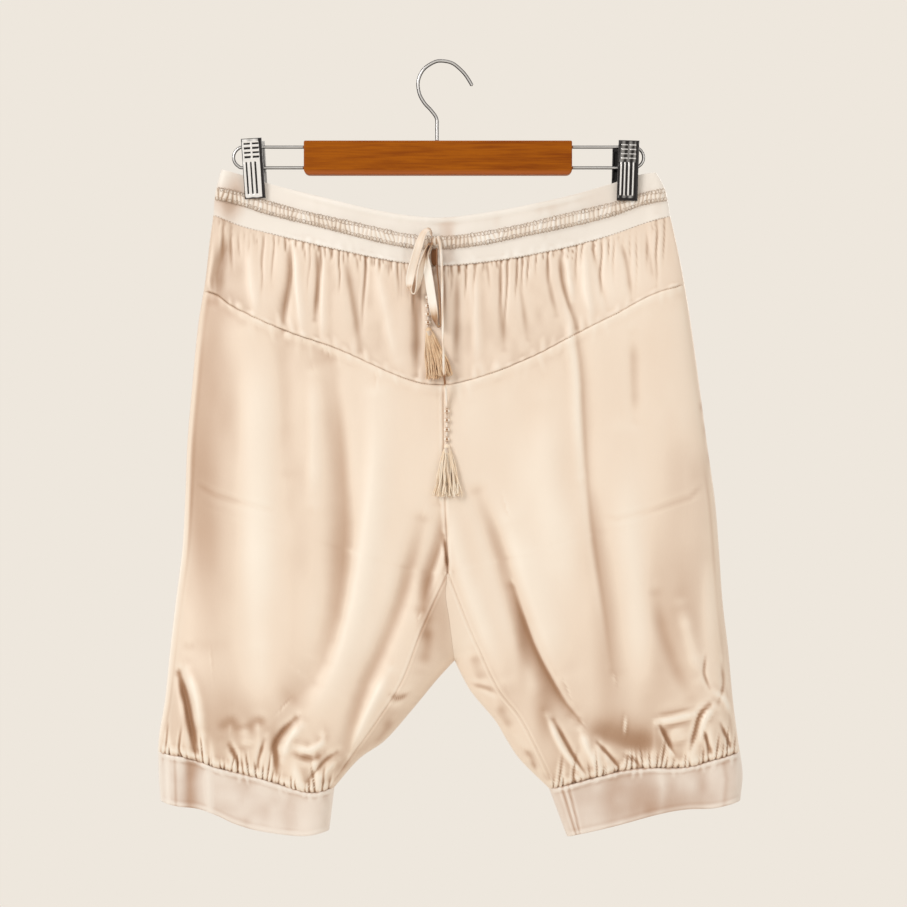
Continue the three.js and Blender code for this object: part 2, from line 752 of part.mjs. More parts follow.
// ---------------------------------------------------------------- legs
const yokeLine = crossLine(yokeSeamZ);
const frontSeamLine = throughRows(FRONT_SEAM);
const backSeamLine = throughRows(BACK_SEAM_BEHIND);
const turnedSeamLine = throughRows(BACK_SEAM_TURNED);
const YOKE_CENTRE = (FRONT_SEAM[0].x - yokeLine(0).x) / (yokeLine(1).x - yokeLine(0).x);
const INSEAM_AT_CUFF = 0.965; // share of the cuff's front that the front panel takes

const legSign = { left: -1, right: 1 };
// From the side edge to the centre, along the yoke seam and just below it.
const LEG_TOP_GAP = 0.45; // the legs' wide columns cut the corner of the yoke's V a little
const legTop = (leg) => (u) => {
  const end = leg.side === "left" ? 0 : 1;
  return yokeLine(mix(end, YOKE_CENTRE, u)).sub(at2(0, LEG_TOP_GAP));
};

function gatherRaise(i, v) {
  const near = smooth((v - CUFF_GATHER_START) / (1 - CUFF_GATHER_START));
  return CUFF_GATHER_HEIGHT * near * (i % 2 ? 1 : -1) * smooth(i / CUFF_EASE);
}

// Direction square to a line, on the side away from the leg.
function awayFromLeg(leg, line, t) {
  const step = 0.01;
  const along = line(Math.min(1, t + step)).sub(line(Math.max(0, t - step)));
  const sign = legSign[leg.side];
  return at2(sign * along.y, -sign * along.x).normalize();
}

const lastOf = (list) => list[list.length - 1];

// The front panel's inner edge follows the front seam, then the inseam.
const FRONT_SPLIT = LEG_ROWS_ABOVE_CROTCH / (LEG_ROWS_ABOVE_CROTCH + INSEAM_ROWS);
function legRowPlaces(above, split) {
  const places = [];
  for (let j = 0; j <= above; j += 1) {
    places.push((j / above) * split);
  }
  for (let j = 1; j <= INSEAM_ROWS; j += 1) {
    places.push(mix(split, 1, j / INSEAM_ROWS));
  }
  return places;
}

function makeFrontLeg(leg) {
  const wall = new ClothWall();
  const top = legTop(leg);
  const foot = (u) => leg.seamLine(u * INSEAM_AT_CUFF);
  const footInner = foot(1);
  const inseamEnd = lastOf(leg.inseam);
  const inseam = (t) => {
    const point = leg.inseamLine(t);
    return point.add(at2(footInner.x - inseamEnd.x, footInner.y - inseamEnd.z).multiplyScalar(t));
  };
  leg.fittedInseam = inseam;
  const seamStart = at2(0, -LEG_TOP_GAP);
  const inner = (v) =>
    v < FRONT_SPLIT
      ? frontSeamLine(v / FRONT_SPLIT).addScaledVector(seamStart, 1 - v / FRONT_SPLIT)
      : inseam((v - FRONT_SPLIT) / (1 - FRONT_SPLIT));
  const side = sideLine(leg.side, top(0).y, foot(0).y);
  const sheet = patch(top, foot, side, inner);
  const across = columns(LEG_COLUMNS, false);
  const down = legRowPlaces(LEG_ROWS_ABOVE_CROTCH, FRONT_SPLIT);
  const rows = down.map((v) =>
    across.map((u, i) =>
      clothCorner(wall, FRONT, sheet(u, v), {
        level: v === 0 || v === 1,
        raise: i === LEG_COLUMNS ? 0 : gatherRaise(i, v),
        edge: i === 0 ? SIDEWAYS[leg.side] : null,
        shift: i === LEG_COLUMNS ? at2((legSign[leg.side] * SEAM) / 2, 0) : null,
      }),
    ),
  );
  wall.weave(rows);
  addMesh(`leg_front_${leg.side}`, wall.geometry(), SATIN);
  leg.frontAcross = across;
  return { wall, rows };
}

// The back panel ends at the back seam above the crotch. Below it, the panel turns round
// the inner fold and comes forward as a strip that ends at the inseam.
const STRIP_COLUMNS = [0.14, 0.4, 0.7, 1];
const STRIP_START = 1.2; // the strip's tip stays this far below the four panels' corner
const BACK_SPLIT = 0.62; // share of the back panel's inner edge above the fold
function makeBackLeg(leg) {
  const wall = new ClothWall();
  const top = legTop(leg);
  const foot = leg.seamLine;
  const seamStart = at2(0, -LEG_TOP_GAP);
  const inner = (v) =>
    v < BACK_SPLIT
      ? backSeamLine(v / BACK_SPLIT).addScaledVector(seamStart, 1 - v / BACK_SPLIT)
      : leg.foldLine((v - BACK_SPLIT) / (1 - BACK_SPLIT));
  const side = sideLine(leg.side, top(0).y, foot(0).y);
  const sheet = patch(top, foot, side, inner);
  const across = columns(LEG_COLUMNS, true);
  const down = legRowPlaces(LEG_ROWS_ABOVE_CROTCH + 1, BACK_SPLIT);
  const firstFoldRow = LEG_ROWS_ABOVE_CROTCH + 1;
  const seamShift = at2((legSign[leg.side] * SEAM) / 2, 0);
  const rows = down.map((v, j) =>
    across.map((u, i) => {
      if (i < LEG_COLUMNS) {
        return clothCorner(wall, BACK, sheet(u, v), {
          level: v === 0 || v === 1,
          raise: gatherRaise(i, v) * smooth((LEG_COLUMNS - i) / CUFF_EASE),
          edge: i === 0 ? SIDEWAYS[leg.side] : null,
        });
      }
      if (j < firstFoldRow) {
        return clothCorner(wall, BACK, sheet(u, v), { shift: seamShift });
      }
      const t = (j - firstFoldRow) / INSEAM_ROWS;
      const outward = j === firstFoldRow ? at2(0, -1) : awayFromLeg(leg, leg.foldLine, t);
      const shift = j === firstFoldRow ? seamShift : at2(0, 0);
      const corner = clothCorner(wall, BACK, sheet(u, v), { edge: outward, shift });
      wall.corners[corner].outer.y = 0;
      return corner;
    }),
  );
  wall.weave(rows);
  const foldCorners = rows.slice(firstFoldRow).map(lastOf);
  const stripRows = foldCorners.map((corner, j) => {
    const t = j / INSEAM_ROWS;
    const away = awayFromLeg(leg, leg.fittedInseam, t).multiplyScalar(j === 0 ? 0 : SEAM);
    const seamPoint = leg.fittedInseam(t).add(away);
    const from = leg.foldLine(t);
    if (j === 0) {
      seamPoint.y = BACK_SEAM_TURNED.at(-1).z - STRIP_START;
    }
    const strip = STRIP_COLUMNS.map((s) => {
      const point = j === 0 && s < 1 ? turnedSeamLine(s) : from.clone().lerp(seamPoint, s);
      const shift = j === 0 ? seamShift : null;
      return clothCorner(wall, FRONT, point, { shift, level: j === INSEAM_ROWS });
    });
    return [corner, ...strip];
  });
  wall.weave(stripRows);
  addMesh(`leg_back_${leg.side}`, wall.geometry(), SATIN);
  leg.backAcross = across;
}

// ---------------------------------------------------------------- cuffs
const CUFF_ROWS = [0, 0.5, 1];
function makeCuff(leg) {
  const wall = new ClothWall();
  const top = (u) => leg.seamLine(u).sub(at2(0, CROSS_SEAM));
  const innerTop = top(1);
  const innerFoot = leg.hemLine(1);
  const inner = (t) => at2(mix(innerTop.x, innerFoot.x, t), mix(innerTop.y, innerFoot.y, t));
  const sheet = patch(top, leg.hemLine, sideLine(leg.side, top(0).y, leg.hemLine(0).y), inner);
  const frontPlaces = [...leg.frontAcross.slice(1).map((u) => u * INSEAM_AT_CUFF), 1];
  const backPlaces = leg.backAcross.slice(1);
  const innerward = at2(-legSign[leg.side], 0);
  const rows = CUFF_ROWS.map((v) => {
    const corner = (face, u) =>
      clothCorner(wall, face, sheet(u, v), { edge: u === 1 ? innerward : null, level: true });
    const sideCorner = clothCorner(wall, FRONT, sheet(0, v), { edge: SIDEWAYS[leg.side] });
    wall.corners[sideCorner].outer.y = 0;
    const front = frontPlaces.map((u) => corner(FRONT, u));
    const back = backPlaces.map((u) => corner(BACK, u));
    return [...front.reverse(), sideCorner, ...back];
  });
  wall.weave(rows);
  addMesh(`cuff_${leg.side}`, wall.geometry(), SATIN);
}

// ---------------------------------------------------------------- pocket bags
function makePocket(pocket, panel) {
  const wall = new ClothWall();
  const rows = panel.rows.slice(0, pocket.lastRow + 1).map((row) =>
    row.slice(pocket.firstColumn, pocket.lastColumn + 1).map((number) => {
      const { outer, normal } = panel.wall.corners[number];
      return wall.add(outer.clone().addScaledVector(normal, -CLOTH - SEAM), normal);
    }),
  );
  wall.weave(rows);
  addMesh(pocket.name, wall.geometry(POCKET_LAYER), SATIN);
}

// ---------------------------------------------------------------- solids joined by booleans
function asManifold(source) {
  let geometry = source.clone();
  for (const attribute of ["normal", "uv"]) {
    geometry.deleteAttribute(attribute);
  }
  geometry = mergeVertices(geometry, 1e-4);
  return new wasm.Manifold(
    new wasm.Mesh({
      numProp: 3,
      vertProperties: new Float32Array(geometry.attributes.position.array),
      triVerts: new Uint32Array(geometry.index.array),
    }),
  );
}

function joined(geometries) {
  const whole = geometries.map(asManifold).reduce((sum, piece) => sum.add(piece));
  const mesh = whole.getMesh();
  return closedGeometry(Array.from(mesh.vertProperties), Array.from(mesh.triVerts));
}

function block(width, depth, height, x, y, z) {
  return new THREE.BoxGeometry(width, depth, height).translate(x, y, z);
}

// ---------------------------------------------------------------- hanger
function ovalSection(width, thickness, sides) {
  const section = new THREE.Shape();
  for (let i = 0; i < sides; i += 1) {
    const angle = ((i + 0.5) / sides) * 2 * Math.PI;
    const point = [(thickness / 2) * Math.cos(angle), (width / 2) * Math.sin(angle)];
    if (i === 0) {
      section.moveTo(...point);
    } else {
      section.lineTo(...point);
    }
  }
  section.closePath();
  return section;
}

const LENGTH_DIVISIONS = 400; // for even steps along a curve
function tubeAlong(points, width, thickness, sides, steps) {
  const path = new THREE.CatmullRomCurve3(points.map((point) => new THREE.Vector3(...point)));
  path.arcLengthDivisions = LENGTH_DIVISIONS;
  return new THREE.ExtrudeGeometry(ovalSection(width, thickness, sides), {
    steps,
    bevelEnabled: false,
    extrudePath: path,
  });
}

function makeBar() {
  const outline = new THREE.Shape();
  const { left, right, top, foot, corner, depth } = BAR;
  outline.moveTo(left, top);
  outline.lineTo(left, foot + corner);
  outline.absarc(left + corner, foot + corner, corner, Math.PI, 1.5 * Math.PI, false);
  outline.absarc(right - corner, foot + corner, corner, 1.5 * Math.PI, 2 * Math.PI, false);
  outline.lineTo(right, top);
  outline.closePath();
  const bar = new THREE.ExtrudeGeometry(outline, {
    depth,
    bevelEnabled: false,
    curveSegments: 5,
  });
  bar.rotateX(Math.PI / 2).translate(0, depth / 2, 0);
  addMesh("hanger_bar", bar, WOOD);
}

function makeHook() {
  const { wire, radius, shankX, sides, steps } = HOOK;
  const centreZ = wire - radius;
  const onCircle = (degrees) => {
    const angle = THREE.MathUtils.degToRad(degrees);
    return [radius * Math.cos(angle), 0, centreZ + radius * Math.sin(angle)];
  };
  const inPlane = ({ x, z }) => [x, 0, z];
  const points = [
    [shankX, 0, BAR.top + SEAM],
    ...HOOK_NECK.map(inPlane),
    ...HOOK_ARC.map(onCircle),
    ...HOOK_TIP.map(inPlane),
  ];
  const tip = new THREE.SphereGeometry(wire, 8, 6).translate(...points.at(-1));
  const rod = tubeAlong(points, 2 * wire, 2 * wire, sides, steps);
  addMesh("hanger_hook", joined([rod, tip]), STEEL_WIRE);
}

function makeWireLoop({ name, end, bar, towards }) {
  const { radius, top, foot, sides, steps } = LOOP_WIRE;
  const centreZ = (top + foot) / 2;
  const bend = (top - foot) / 2;
  const bendX = end - towards * (bend - radius);
  const start = bar + towards * SEAM;
  const points = [
    [start, 0, top],
    [mix(start, bendX, 0.5), 0, top],
  ];
  for (let angle = 90; angle >= -90; angle -= 30) {
    const rad = THREE.MathUtils.degToRad(angle);
    const x = bendX + towards * bend * Math.cos(rad);
    points.push([x, 0, centreZ + bend * Math.sin(rad)]);
  }
  points.push([mix(start, bendX, 0.5), 0, foot], [start, 0, foot]);
  addMesh(name, tubeAlong(points, 2 * radius, 2 * radius, sides, steps), STEEL_WIRE);
}

// One clip plate, flat in XZ with its outer face towards -Y, top edge at z = 0.
function clipPlate() {
  const { width, height, plate, grip, lean } = CLIP;
  const pieces = [block(width, plate, height, 0, plate / 2, -height / 2)];
  const raised = CLIP_RAISED.depth;
  const outerY = -raised / 2 + CLIP_RAISED.sunk;
  for (let row = 0; row < CLIP_BARS.rows; row += 1) {
    const z = CLIP_BARS.top - row * CLIP_BARS.pitch;
    for (const x of [-CLIP_BARS.x, CLIP_BARS.x]) {
      pieces.push(block(CLIP_BARS.width, raised, CLIP_BARS.height, x, outerY, z));
    }
  }
  for (let rib = 0; rib < CLIP_RIBS.count; rib += 1) {
    const x = (rib - (CLIP_RIBS.count - 1) / 2) * CLIP_RIBS.pitch;
    pieces.push(block(CLIP_RIBS.width, raised, CLIP_RIBS.height, x, outerY, CLIP_RIBS.z));
  }
  const { thickness, depth, behind } = CLIP_EAR;
  for (const sign of [-1, 1]) {
    const x = (sign * (width - thickness)) / 2;
    pieces.push(block(thickness, depth, CLIP_EAR.height, x, plate + behind, CLIP_EAR.z));
  }
  const { half, inset, z, slack } = CLIP_JAW;
  const jawFace = -plateY(z) - grip - SEAM - lean * half - slack;
  pieces.push(block(width - inset, jawFace, 2 * half, 0, jawFace / 2, z));
  return joined(pieces).rotateX(lean).translate(0, plateY(0), 0);
}

// The plate's outer face leans in towards the jaw.
const PLATE_TOP_Y = -9.6;
const plateY = (z) => PLATE_TOP_Y - CLIP.lean * z;

function makeClip({ side, x, tilt }) {
  const pivotZ = (LOOP_WIRE.top + LOOP_WIRE.foot) / 2;
  const { radius, inset, sides } = CLIP_SPRING;
  const spring = new THREE.CylinderGeometry(radius, radius, CLIP.width - inset, sides);
  spring.rotateZ(Math.PI / 2).translate(x + (pivotZ - CLIP.top) * Math.sin(tilt), 0, pivotZ);
  addMesh(`clip_${side}_spring`, spring, STEEL_WIRE);
  for (const [name, turned] of [["front", 0], ["back", Math.PI]]) {
    const plate = clipPlate();
    plate.rotateZ(turned).rotateY(tilt).translate(x, 0, CLIP.top);
    addMesh(`clip_${side}_${name}`, plate, CHROME);
  }
}

// ---------------------------------------------------------------- drawstring
// Hand-set routes in x, y, z. The ribbon leaves the casing at the knot. A loop's fourth
// value is its turn in degrees: 0 lies flat to the front, 90 stands on its edge.
const KNOT = { x: -6.5, y: -14.9, z: -156.5, width: 8, depth: 5.4, height: 8, around: 10, down: 7 };
const LOOP_ROUTES = {
  bow_loop_left: [
    [-8.6, -17.8, -151.2, 80],
    [-11.5, -20.5, -147, 70],
    [-16.5, -21.6, -151.5, 40],
    [-22, -21.8, -168, 10],
    [-27.2, -22, -188, 15],
    [-27.4, -22.4, -198, 70],
    [-24, -23, -202.3, 88],
    [-20.8, -25, -196, 70],
    [-18, -26, -180, 50],
    [-14.2, -24, -166, 75],
    [-11.4, -21, -160, 88],
  ],
  bow_loop_right: [
    [-9.2, -20, -164.2, 30],
    [-12, -21.2, -176, 12],
    [-11.6, -22.4, -196, 10],
    [-8.6, -23, -214, 20],
    [-5.6, -23, -228.5, 75],
    [-2.6, -22.8, -231.8, 88],
    [-0.4, -21.4, -226, 75],
    [-2, -19.8, -204, 80],
    [-4, -18.6, -182, 85],
    [-4.4, -17.6, -162.8, 88],
  ],
};
const CORD_ROUTES = {
  drawstring_end_left: [
    [-9.8, -13.2, -161.6],
    [-10.3, -13.3, -164],
    [-10.8, -13.4, -167],
    [-11.4, -13.8, -170],
    [-11.8, -14.2, -173.5],
    [-12.1, -14.7, -177],
    [-12.2, -15.2, -180],
    [-12.2, -15.6, -183],
    [-12.2, -16.1, -186.5],
    [-12.2, -16.6, -190],
    [-12.1, -17.1, -193],
    [-12.1, -17.6, -195.5],
    [-12, -18.1, -198],
    [-12, -18.3, -200.2],
    [-12, -18.3, -202.4],
  ],
  drawstring_end_right: [
    [-3.2, -19.4, -153.5],
    [-2.4, -20.8, -156.5],
    [-1.6, -22.2, -160],
    [-0.9, -23.6, -166],
    [-0.4, -24.8, -172],
    [0, -25.9, -181],
    [0.2, -26.8, -190],
    [0.3, -27.5, -200],
    [0.4, -28.2, -210],
    [0.6, -28.8, -221],
    [0.8, -29.4, -232],
    [1, -29.8, -244],
    [1.3, -30, -255],
    [1.6, -30.1, -263],
    [1.9, -30, -271],
    [2.5, -28.6, -278],
    [3.2, -26.6, -284],
    [3.7, -24.4, -289.5],
    [4.2, -22.4, -295],
    [4.3, -22, -300.4],
  ],
};
const DROPS = {
  left: { x: -12, y: -18.3, beads: [-205.2, -212.4, -219.6, -226.8], headY: -19.8 },
  right: { x: 4.3, y: -22, beads: [-303.4, -311.2, -319.4, -327.6], headY: -23 },
};
const TASSEL_SWING = { left: 0.22, right: 0 }; // towards the right side
const TASSEL_LEAN = 0.075; // outwards, over the swelling front
const TASSEL_DROP = 4.2; // from the last bead's centre to the top of the tassel's head

function makeKnot() {
  const { x, y, z, width, depth, height } = KNOT;
  const knot = new THREE.SphereGeometry(0.5, KNOT.around, KNOT.down).rotateX(Math.PI / 2);
  knot.scale(width, depth, height).translate(x, y, z);
  addMesh("bow_knot", knot, SATIN_RIBBON);
}

const LOOP_STEPS = 20;
function makeLoop(name, route) {
  const path = new THREE.CatmullRomCurve3(route.map(([x, y, z]) => new THREE.Vector3(x, y, z)));
  const turns = new THREE.SplineCurve(route.map((row, i) => at2(i, row[3])));
  const wall = new ClothWall();
  const toFront = new THREE.Vector3(0, -1, 0);
  const rows = [];
  for (let i = 0; i <= LOOP_STEPS; i += 1) {
    const t = i / LOOP_STEPS;
    const centre = path.getPoint(t);
    const along = path.getTangent(t);
    const turned = THREE.MathUtils.degToRad(turns.getPoint(t).y);
    const side = along.clone().cross(toFront).normalize().applyAxisAngle(along, turned);
    const normal = side.clone().cross(along).normalize();
    side.multiplyScalar(RIBBON.width / 2);
    rows.push([-1, 1].map((s) => wall.add(centre.clone().addScaledVector(side, s), normal)));
  }
  wall.weave(rows);
  addMesh(name, wall.geometry(RIBBON.thickness), SATIN_RIBBON);
}

function makeBead(name, x, y, z) {
  const { radius, bore, cap, sides } = BEAD;
  const profile = [];
  for (const angle of [-cap, 0, cap]) {
    const rad = THREE.MathUtils.degToRad(angle);
    profile.push(at2(radius * Math.cos(rad), radius * Math.sin(rad)));
  }
  profile.push(at2(bore, profile.at(-1).y), at2(bore, profile[0].y), profile[0].clone());
  const bead = new THREE.LatheGeometry(profile, sides).rotateX(Math.PI / 2);
  addMesh(name, bead.translate(x, y, z), SATIN_RIBBON);
}

// Strands of three sides, rooted in a head and fanned out, flatter from front to back.
function makeTassel(name, x, y, z, swing) {
  const { strands, length, spread, depth, strand, head } = TASSEL;
  const pieces = [
    new THREE.SphereGeometry(head, 8, 6).rotateX(Math.PI / 2).translate(0, 0, -head),
  ];
  const golden = Math.PI * (3 - Math.sqrt(5));
  for (let i = 0; i < strands; i += 1) {
    const reach = Math.sqrt((i + 0.5) / strands);
    const angle = i * golden;
    const across = reach * Math.cos(angle);
    const through = reach * Math.sin(angle);
    const root = [
      across * head * TASSEL_ROOT.across,
      through * head * TASSEL_ROOT.through,
      -head * TASSEL_ROOT.drop,
    ];
    const foot = [(across * spread) / 2, (through * depth) / 2, -length + TASSEL_RISE * reach];
    const knee = [
      mix(root[0], foot[0], TASSEL_KNEE.across),
      mix(root[1], foot[1], TASSEL_KNEE.through),
      mix(root[2], foot[2], TASSEL_KNEE.down),
    ];
    pieces.push(tubeAlong([root, knee, foot], 2 * strand, 2 * strand, 3, 2));
  }
  const tassel = joined(pieces).rotateX(-TASSEL_LEAN).rotateY(-swing).translate(x, y, z);
  addMesh(name, tassel, TASSEL_THREAD);
}

function makeDrop(side) {
  const { x, y, beads, headY } = DROPS[side];
  const end = CORD_ROUTES[`drawstring_end_${side}`].at(-1);
  const tasselTop = lastOf(beads) - TASSEL_DROP;
  const thread = [
    [end[0], end[1], end[2] - SEAM],
    [x, y, mix(beads[0], lastOf(beads), 0.5)],
    [x, y, lastOf(beads)],
    [x, y, lastOf(beads) - BEAD.radius],
    [x, headY, tasselTop + SEAM],
  ];
  const { radius, sides, steps } = THREAD;
  const line = tubeAlong(thread, 2 * radius, 2 * radius, sides, steps);
  addMesh(`drawstring_thread_${side}`, line, SATIN_RIBBON);
  beads.forEach((z, i) => makeBead(`bead_${side}_${i + 1}`, x, y, z));
  makeTassel(`tassel_${side}`, x, headY, tasselTop, TASSEL_SWING[side]);
}

// ---------------------------------------------------------------- the whole garment
for (const [face, name] of [[FRONT, "front"], [BACK, "back"]]) {
  const band = makeBand(face, name);
  makeCasing(band, face, name);
  makeYoke(face, name);
}
const frontPanels = {};
for (const leg of Object.values(LEGS)) {
  frontPanels[leg.side] = makeFrontLeg(leg);
  makeBackLeg(leg);
  makeCuff(leg);
}
for (const pocket of POCKETS) {
  makePocket(pocket, frontPanels[pocket.leg]);
}
makeKnot();
for (const [name, route] of Object.entries(LOOP_ROUTES)) {
  makeLoop(name, route);
}
for (const [name, route] of Object.entries(CORD_ROUTES)) {
  const { width, thickness, sides, steps } = CORD;
  addMesh(name, tubeAlong(route, width, thickness, sides, steps), SATIN_RIBBON);
}
makeDrop("left");
makeDrop("right");
makeBar();
makeHook();
for (const loop of LOOPS) {
  makeWireLoop(loop);
}
for (const clip of CLIPS) {
  makeClip(clip);
}

export default group;
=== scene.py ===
"""Gathered satin pantaloons on a wooden clip hanger, laid out as a Blender add-on."""

import math
from collections import namedtuple

import bmesh
import bpy
import numpy as np
from bpy.props import FloatProperty, FloatVectorProperty, IntProperty, PointerProperty
from bpy.types import Operator, Panel, PropertyGroup
from mathutils import Matrix, Vector


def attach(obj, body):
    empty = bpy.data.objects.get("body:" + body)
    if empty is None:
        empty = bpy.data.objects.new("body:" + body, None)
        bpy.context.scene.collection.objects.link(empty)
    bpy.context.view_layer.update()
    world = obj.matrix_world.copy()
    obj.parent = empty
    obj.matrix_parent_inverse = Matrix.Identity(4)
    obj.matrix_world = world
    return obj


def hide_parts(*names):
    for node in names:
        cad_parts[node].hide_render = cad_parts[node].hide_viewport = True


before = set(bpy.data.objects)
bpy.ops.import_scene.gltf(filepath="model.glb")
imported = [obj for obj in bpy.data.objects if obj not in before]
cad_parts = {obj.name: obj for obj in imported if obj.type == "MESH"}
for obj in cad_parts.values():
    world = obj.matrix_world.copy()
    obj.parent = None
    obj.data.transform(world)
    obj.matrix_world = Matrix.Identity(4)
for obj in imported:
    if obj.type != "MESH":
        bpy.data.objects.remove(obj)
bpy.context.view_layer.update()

bl_info = {
    "name": "Satin pantaloons on a clip hanger",
    "version": (1, 0, 0),
    "blender": (4, 5, 0),
    "location": "3D View > Sidebar > Pantaloons",
    "description": "Builds the garment, its drawstring and its hanger piece by piece",
    "category": "Object",
}

# Tables are in millimetres, and meshes are made in metres.
MM = 0.001
FRONT = -1
BACK = 1
LEFT = -1
RIGHT = 1

# ------------------------------------------------------------------ outline and seams
Level = namedtuple("Level", "z left right depth side_turn fold_turn")
LEVELS = (
    Level(-92, -191.5, 184, 9, 12, 60),
    Level(-107.5, -196, 193, 9, 13, 60),
    Level(-120, -198, 196.5, 9, 14, 60),
    Level(-133, -199, 198.5, 9.5, 16, 60),
    Level(-155, -202, 203.5, 10.5, 24, 60),
    Level(-190, -206, 210.5, 13, 34, 60),
    Level(-227, -212, 216.5, 15.5, 42, 60),
    Level(-278, -217, 223.5, 18, 48, 60),
    Level(-331, -221.5, 230.5, 20, 52, 60),
    Level(-381, -223.5, 237.5, 21.5, 54, 60),
    Level(-424, -226, 241, 22.5, 54, 60),
    Level(-468, -231.5, 244, 23.5, 52, 58),
    Level(-511, -236.5, 249, 25, 48, 54),
    Level(-554, -241, 253, 27.5, 42, 44),
    Level(-589, -246.5, 257.5, 26, 30, 34),
    Level(-618, -246.5, 261.5, 18, 20, 20),
    Level(-641, -245, 259.5, 17, 18, 18),
    Level(-675, -243, 257, 17, 18, 18),
)

BandRow = namedtuple("BandRow", "x top casing_top casing_foot waist")
BAND = (
    BandRow(-200, -91, -108.5, -118.5, -132.5),
    BandRow(-175, -97.5, -113.5, -124, -142.5),
    BandRow(-150, -105.5, -121.5, -132, -149),
    BandRow(-110, -116, -132.5, -142, -159),
    BandRow(-66, -127, -142.5, -153.5, -169),
    BandRow(-30, -133.5, -150.5, -161, -175.5),
    BandRow(0, -135.5, -152.5, -162.5, -177.5),
    BandRow(33, -132, -149, -159, -175),
    BandRow(70, -125.5, -142, -151.5, -169.5),
    BandRow(110, -116.5, -132, -143, -161),
    BandRow(150, -104.5, -122, -132.5, -149.5),
    BandRow(175, -97, -114, -123.5, -140.5),
    BandRow(200, -95, -110, -119, -133.5),
)

SeamPoint = namedtuple("SeamPoint", "x z")
YOKE_SEAM = tuple(
    SeamPoint(*place)
    for place in (
        (-210, -198.5), (-197, -201.5), (-183, -211.5), (-158, -224), (-129, -236),
        (-94, -248), (-66, -260.5), (-44, -270.5), (-20, -278.6), (0, -280.8),
        (16, -278.6), (40, -271.5), (80, -255.5), (115, -237), (150, -219.5),
        (181, -203), (212, -192.5),
    )
)
FRONT_SEAM = ((1, -280.8), (1.5, -329), (2.5, -381), (5, -442.5))
BACK_SEAM_BEHIND = ((1, -280.8), (3, -360), (7, -440), (11, -520))
BACK_SEAM_TURNED = ((11, -520), (6.5, -484), (3.5, -463), (5, -443.5))
CROTCH_X = 11

# Each leg: the inseam that shows on the front, the inner fold, and the two cuff edges,
# the latter from the side to the inner end.
LegLines = namedtuple("LegLines", "name side inseam fold cuff_seam hem")
LEFT_LEG = LegLines(
    "left",
    LEFT,
    ((5, -442.5), (-16.5, -489.5), (-34.5, -536.5), (-57, -572), (-77, -600), (-98, -630.5)),
    ((11, -520), (-4.5, -537), (-26, -563), (-49.5, -589.5), (-72, -605.5), (-93.5, -630)),
    (
        (-247, -598.5), (-224, -602), (-209, -606), (-194, -611.5), (-161, -619.5),
        (-126.5, -630), (-111.5, -633), (-93.5, -630),
    ),
    (
        (-245, -641), (-228.5, -645), (-209, -647.5), (-194, -653), (-179, -660),
        (-158, -666), (-122, -670.5), (-98, -667),
    ),
)
RIGHT_LEG = LegLines(
    "right",
    RIGHT,
    ((5, -442.5), (18.5, -478), (32, -510), (48.5, -544), (69.5, -572), (97.5, -629)),
    ((11, -520), (24.5, -546), (46, -572), (56.5, -589.5), (68.5, -607), (93, -631)),
    (
        (258.5, -598.5), (235, -604.5), (219.5, -609), (204, -611.5), (180.5, -611.5),
        (157.5, -613.5), (117, -624), (93, -631),
    ),
    (
        (259.5, -641), (235, -646.5), (212, -647.5), (188.5, -651.5), (149.5, -662),
        (120, -669), (108.5, -672.5),
    ),
)
LEGS = (LEFT_LEG, RIGHT_LEG)

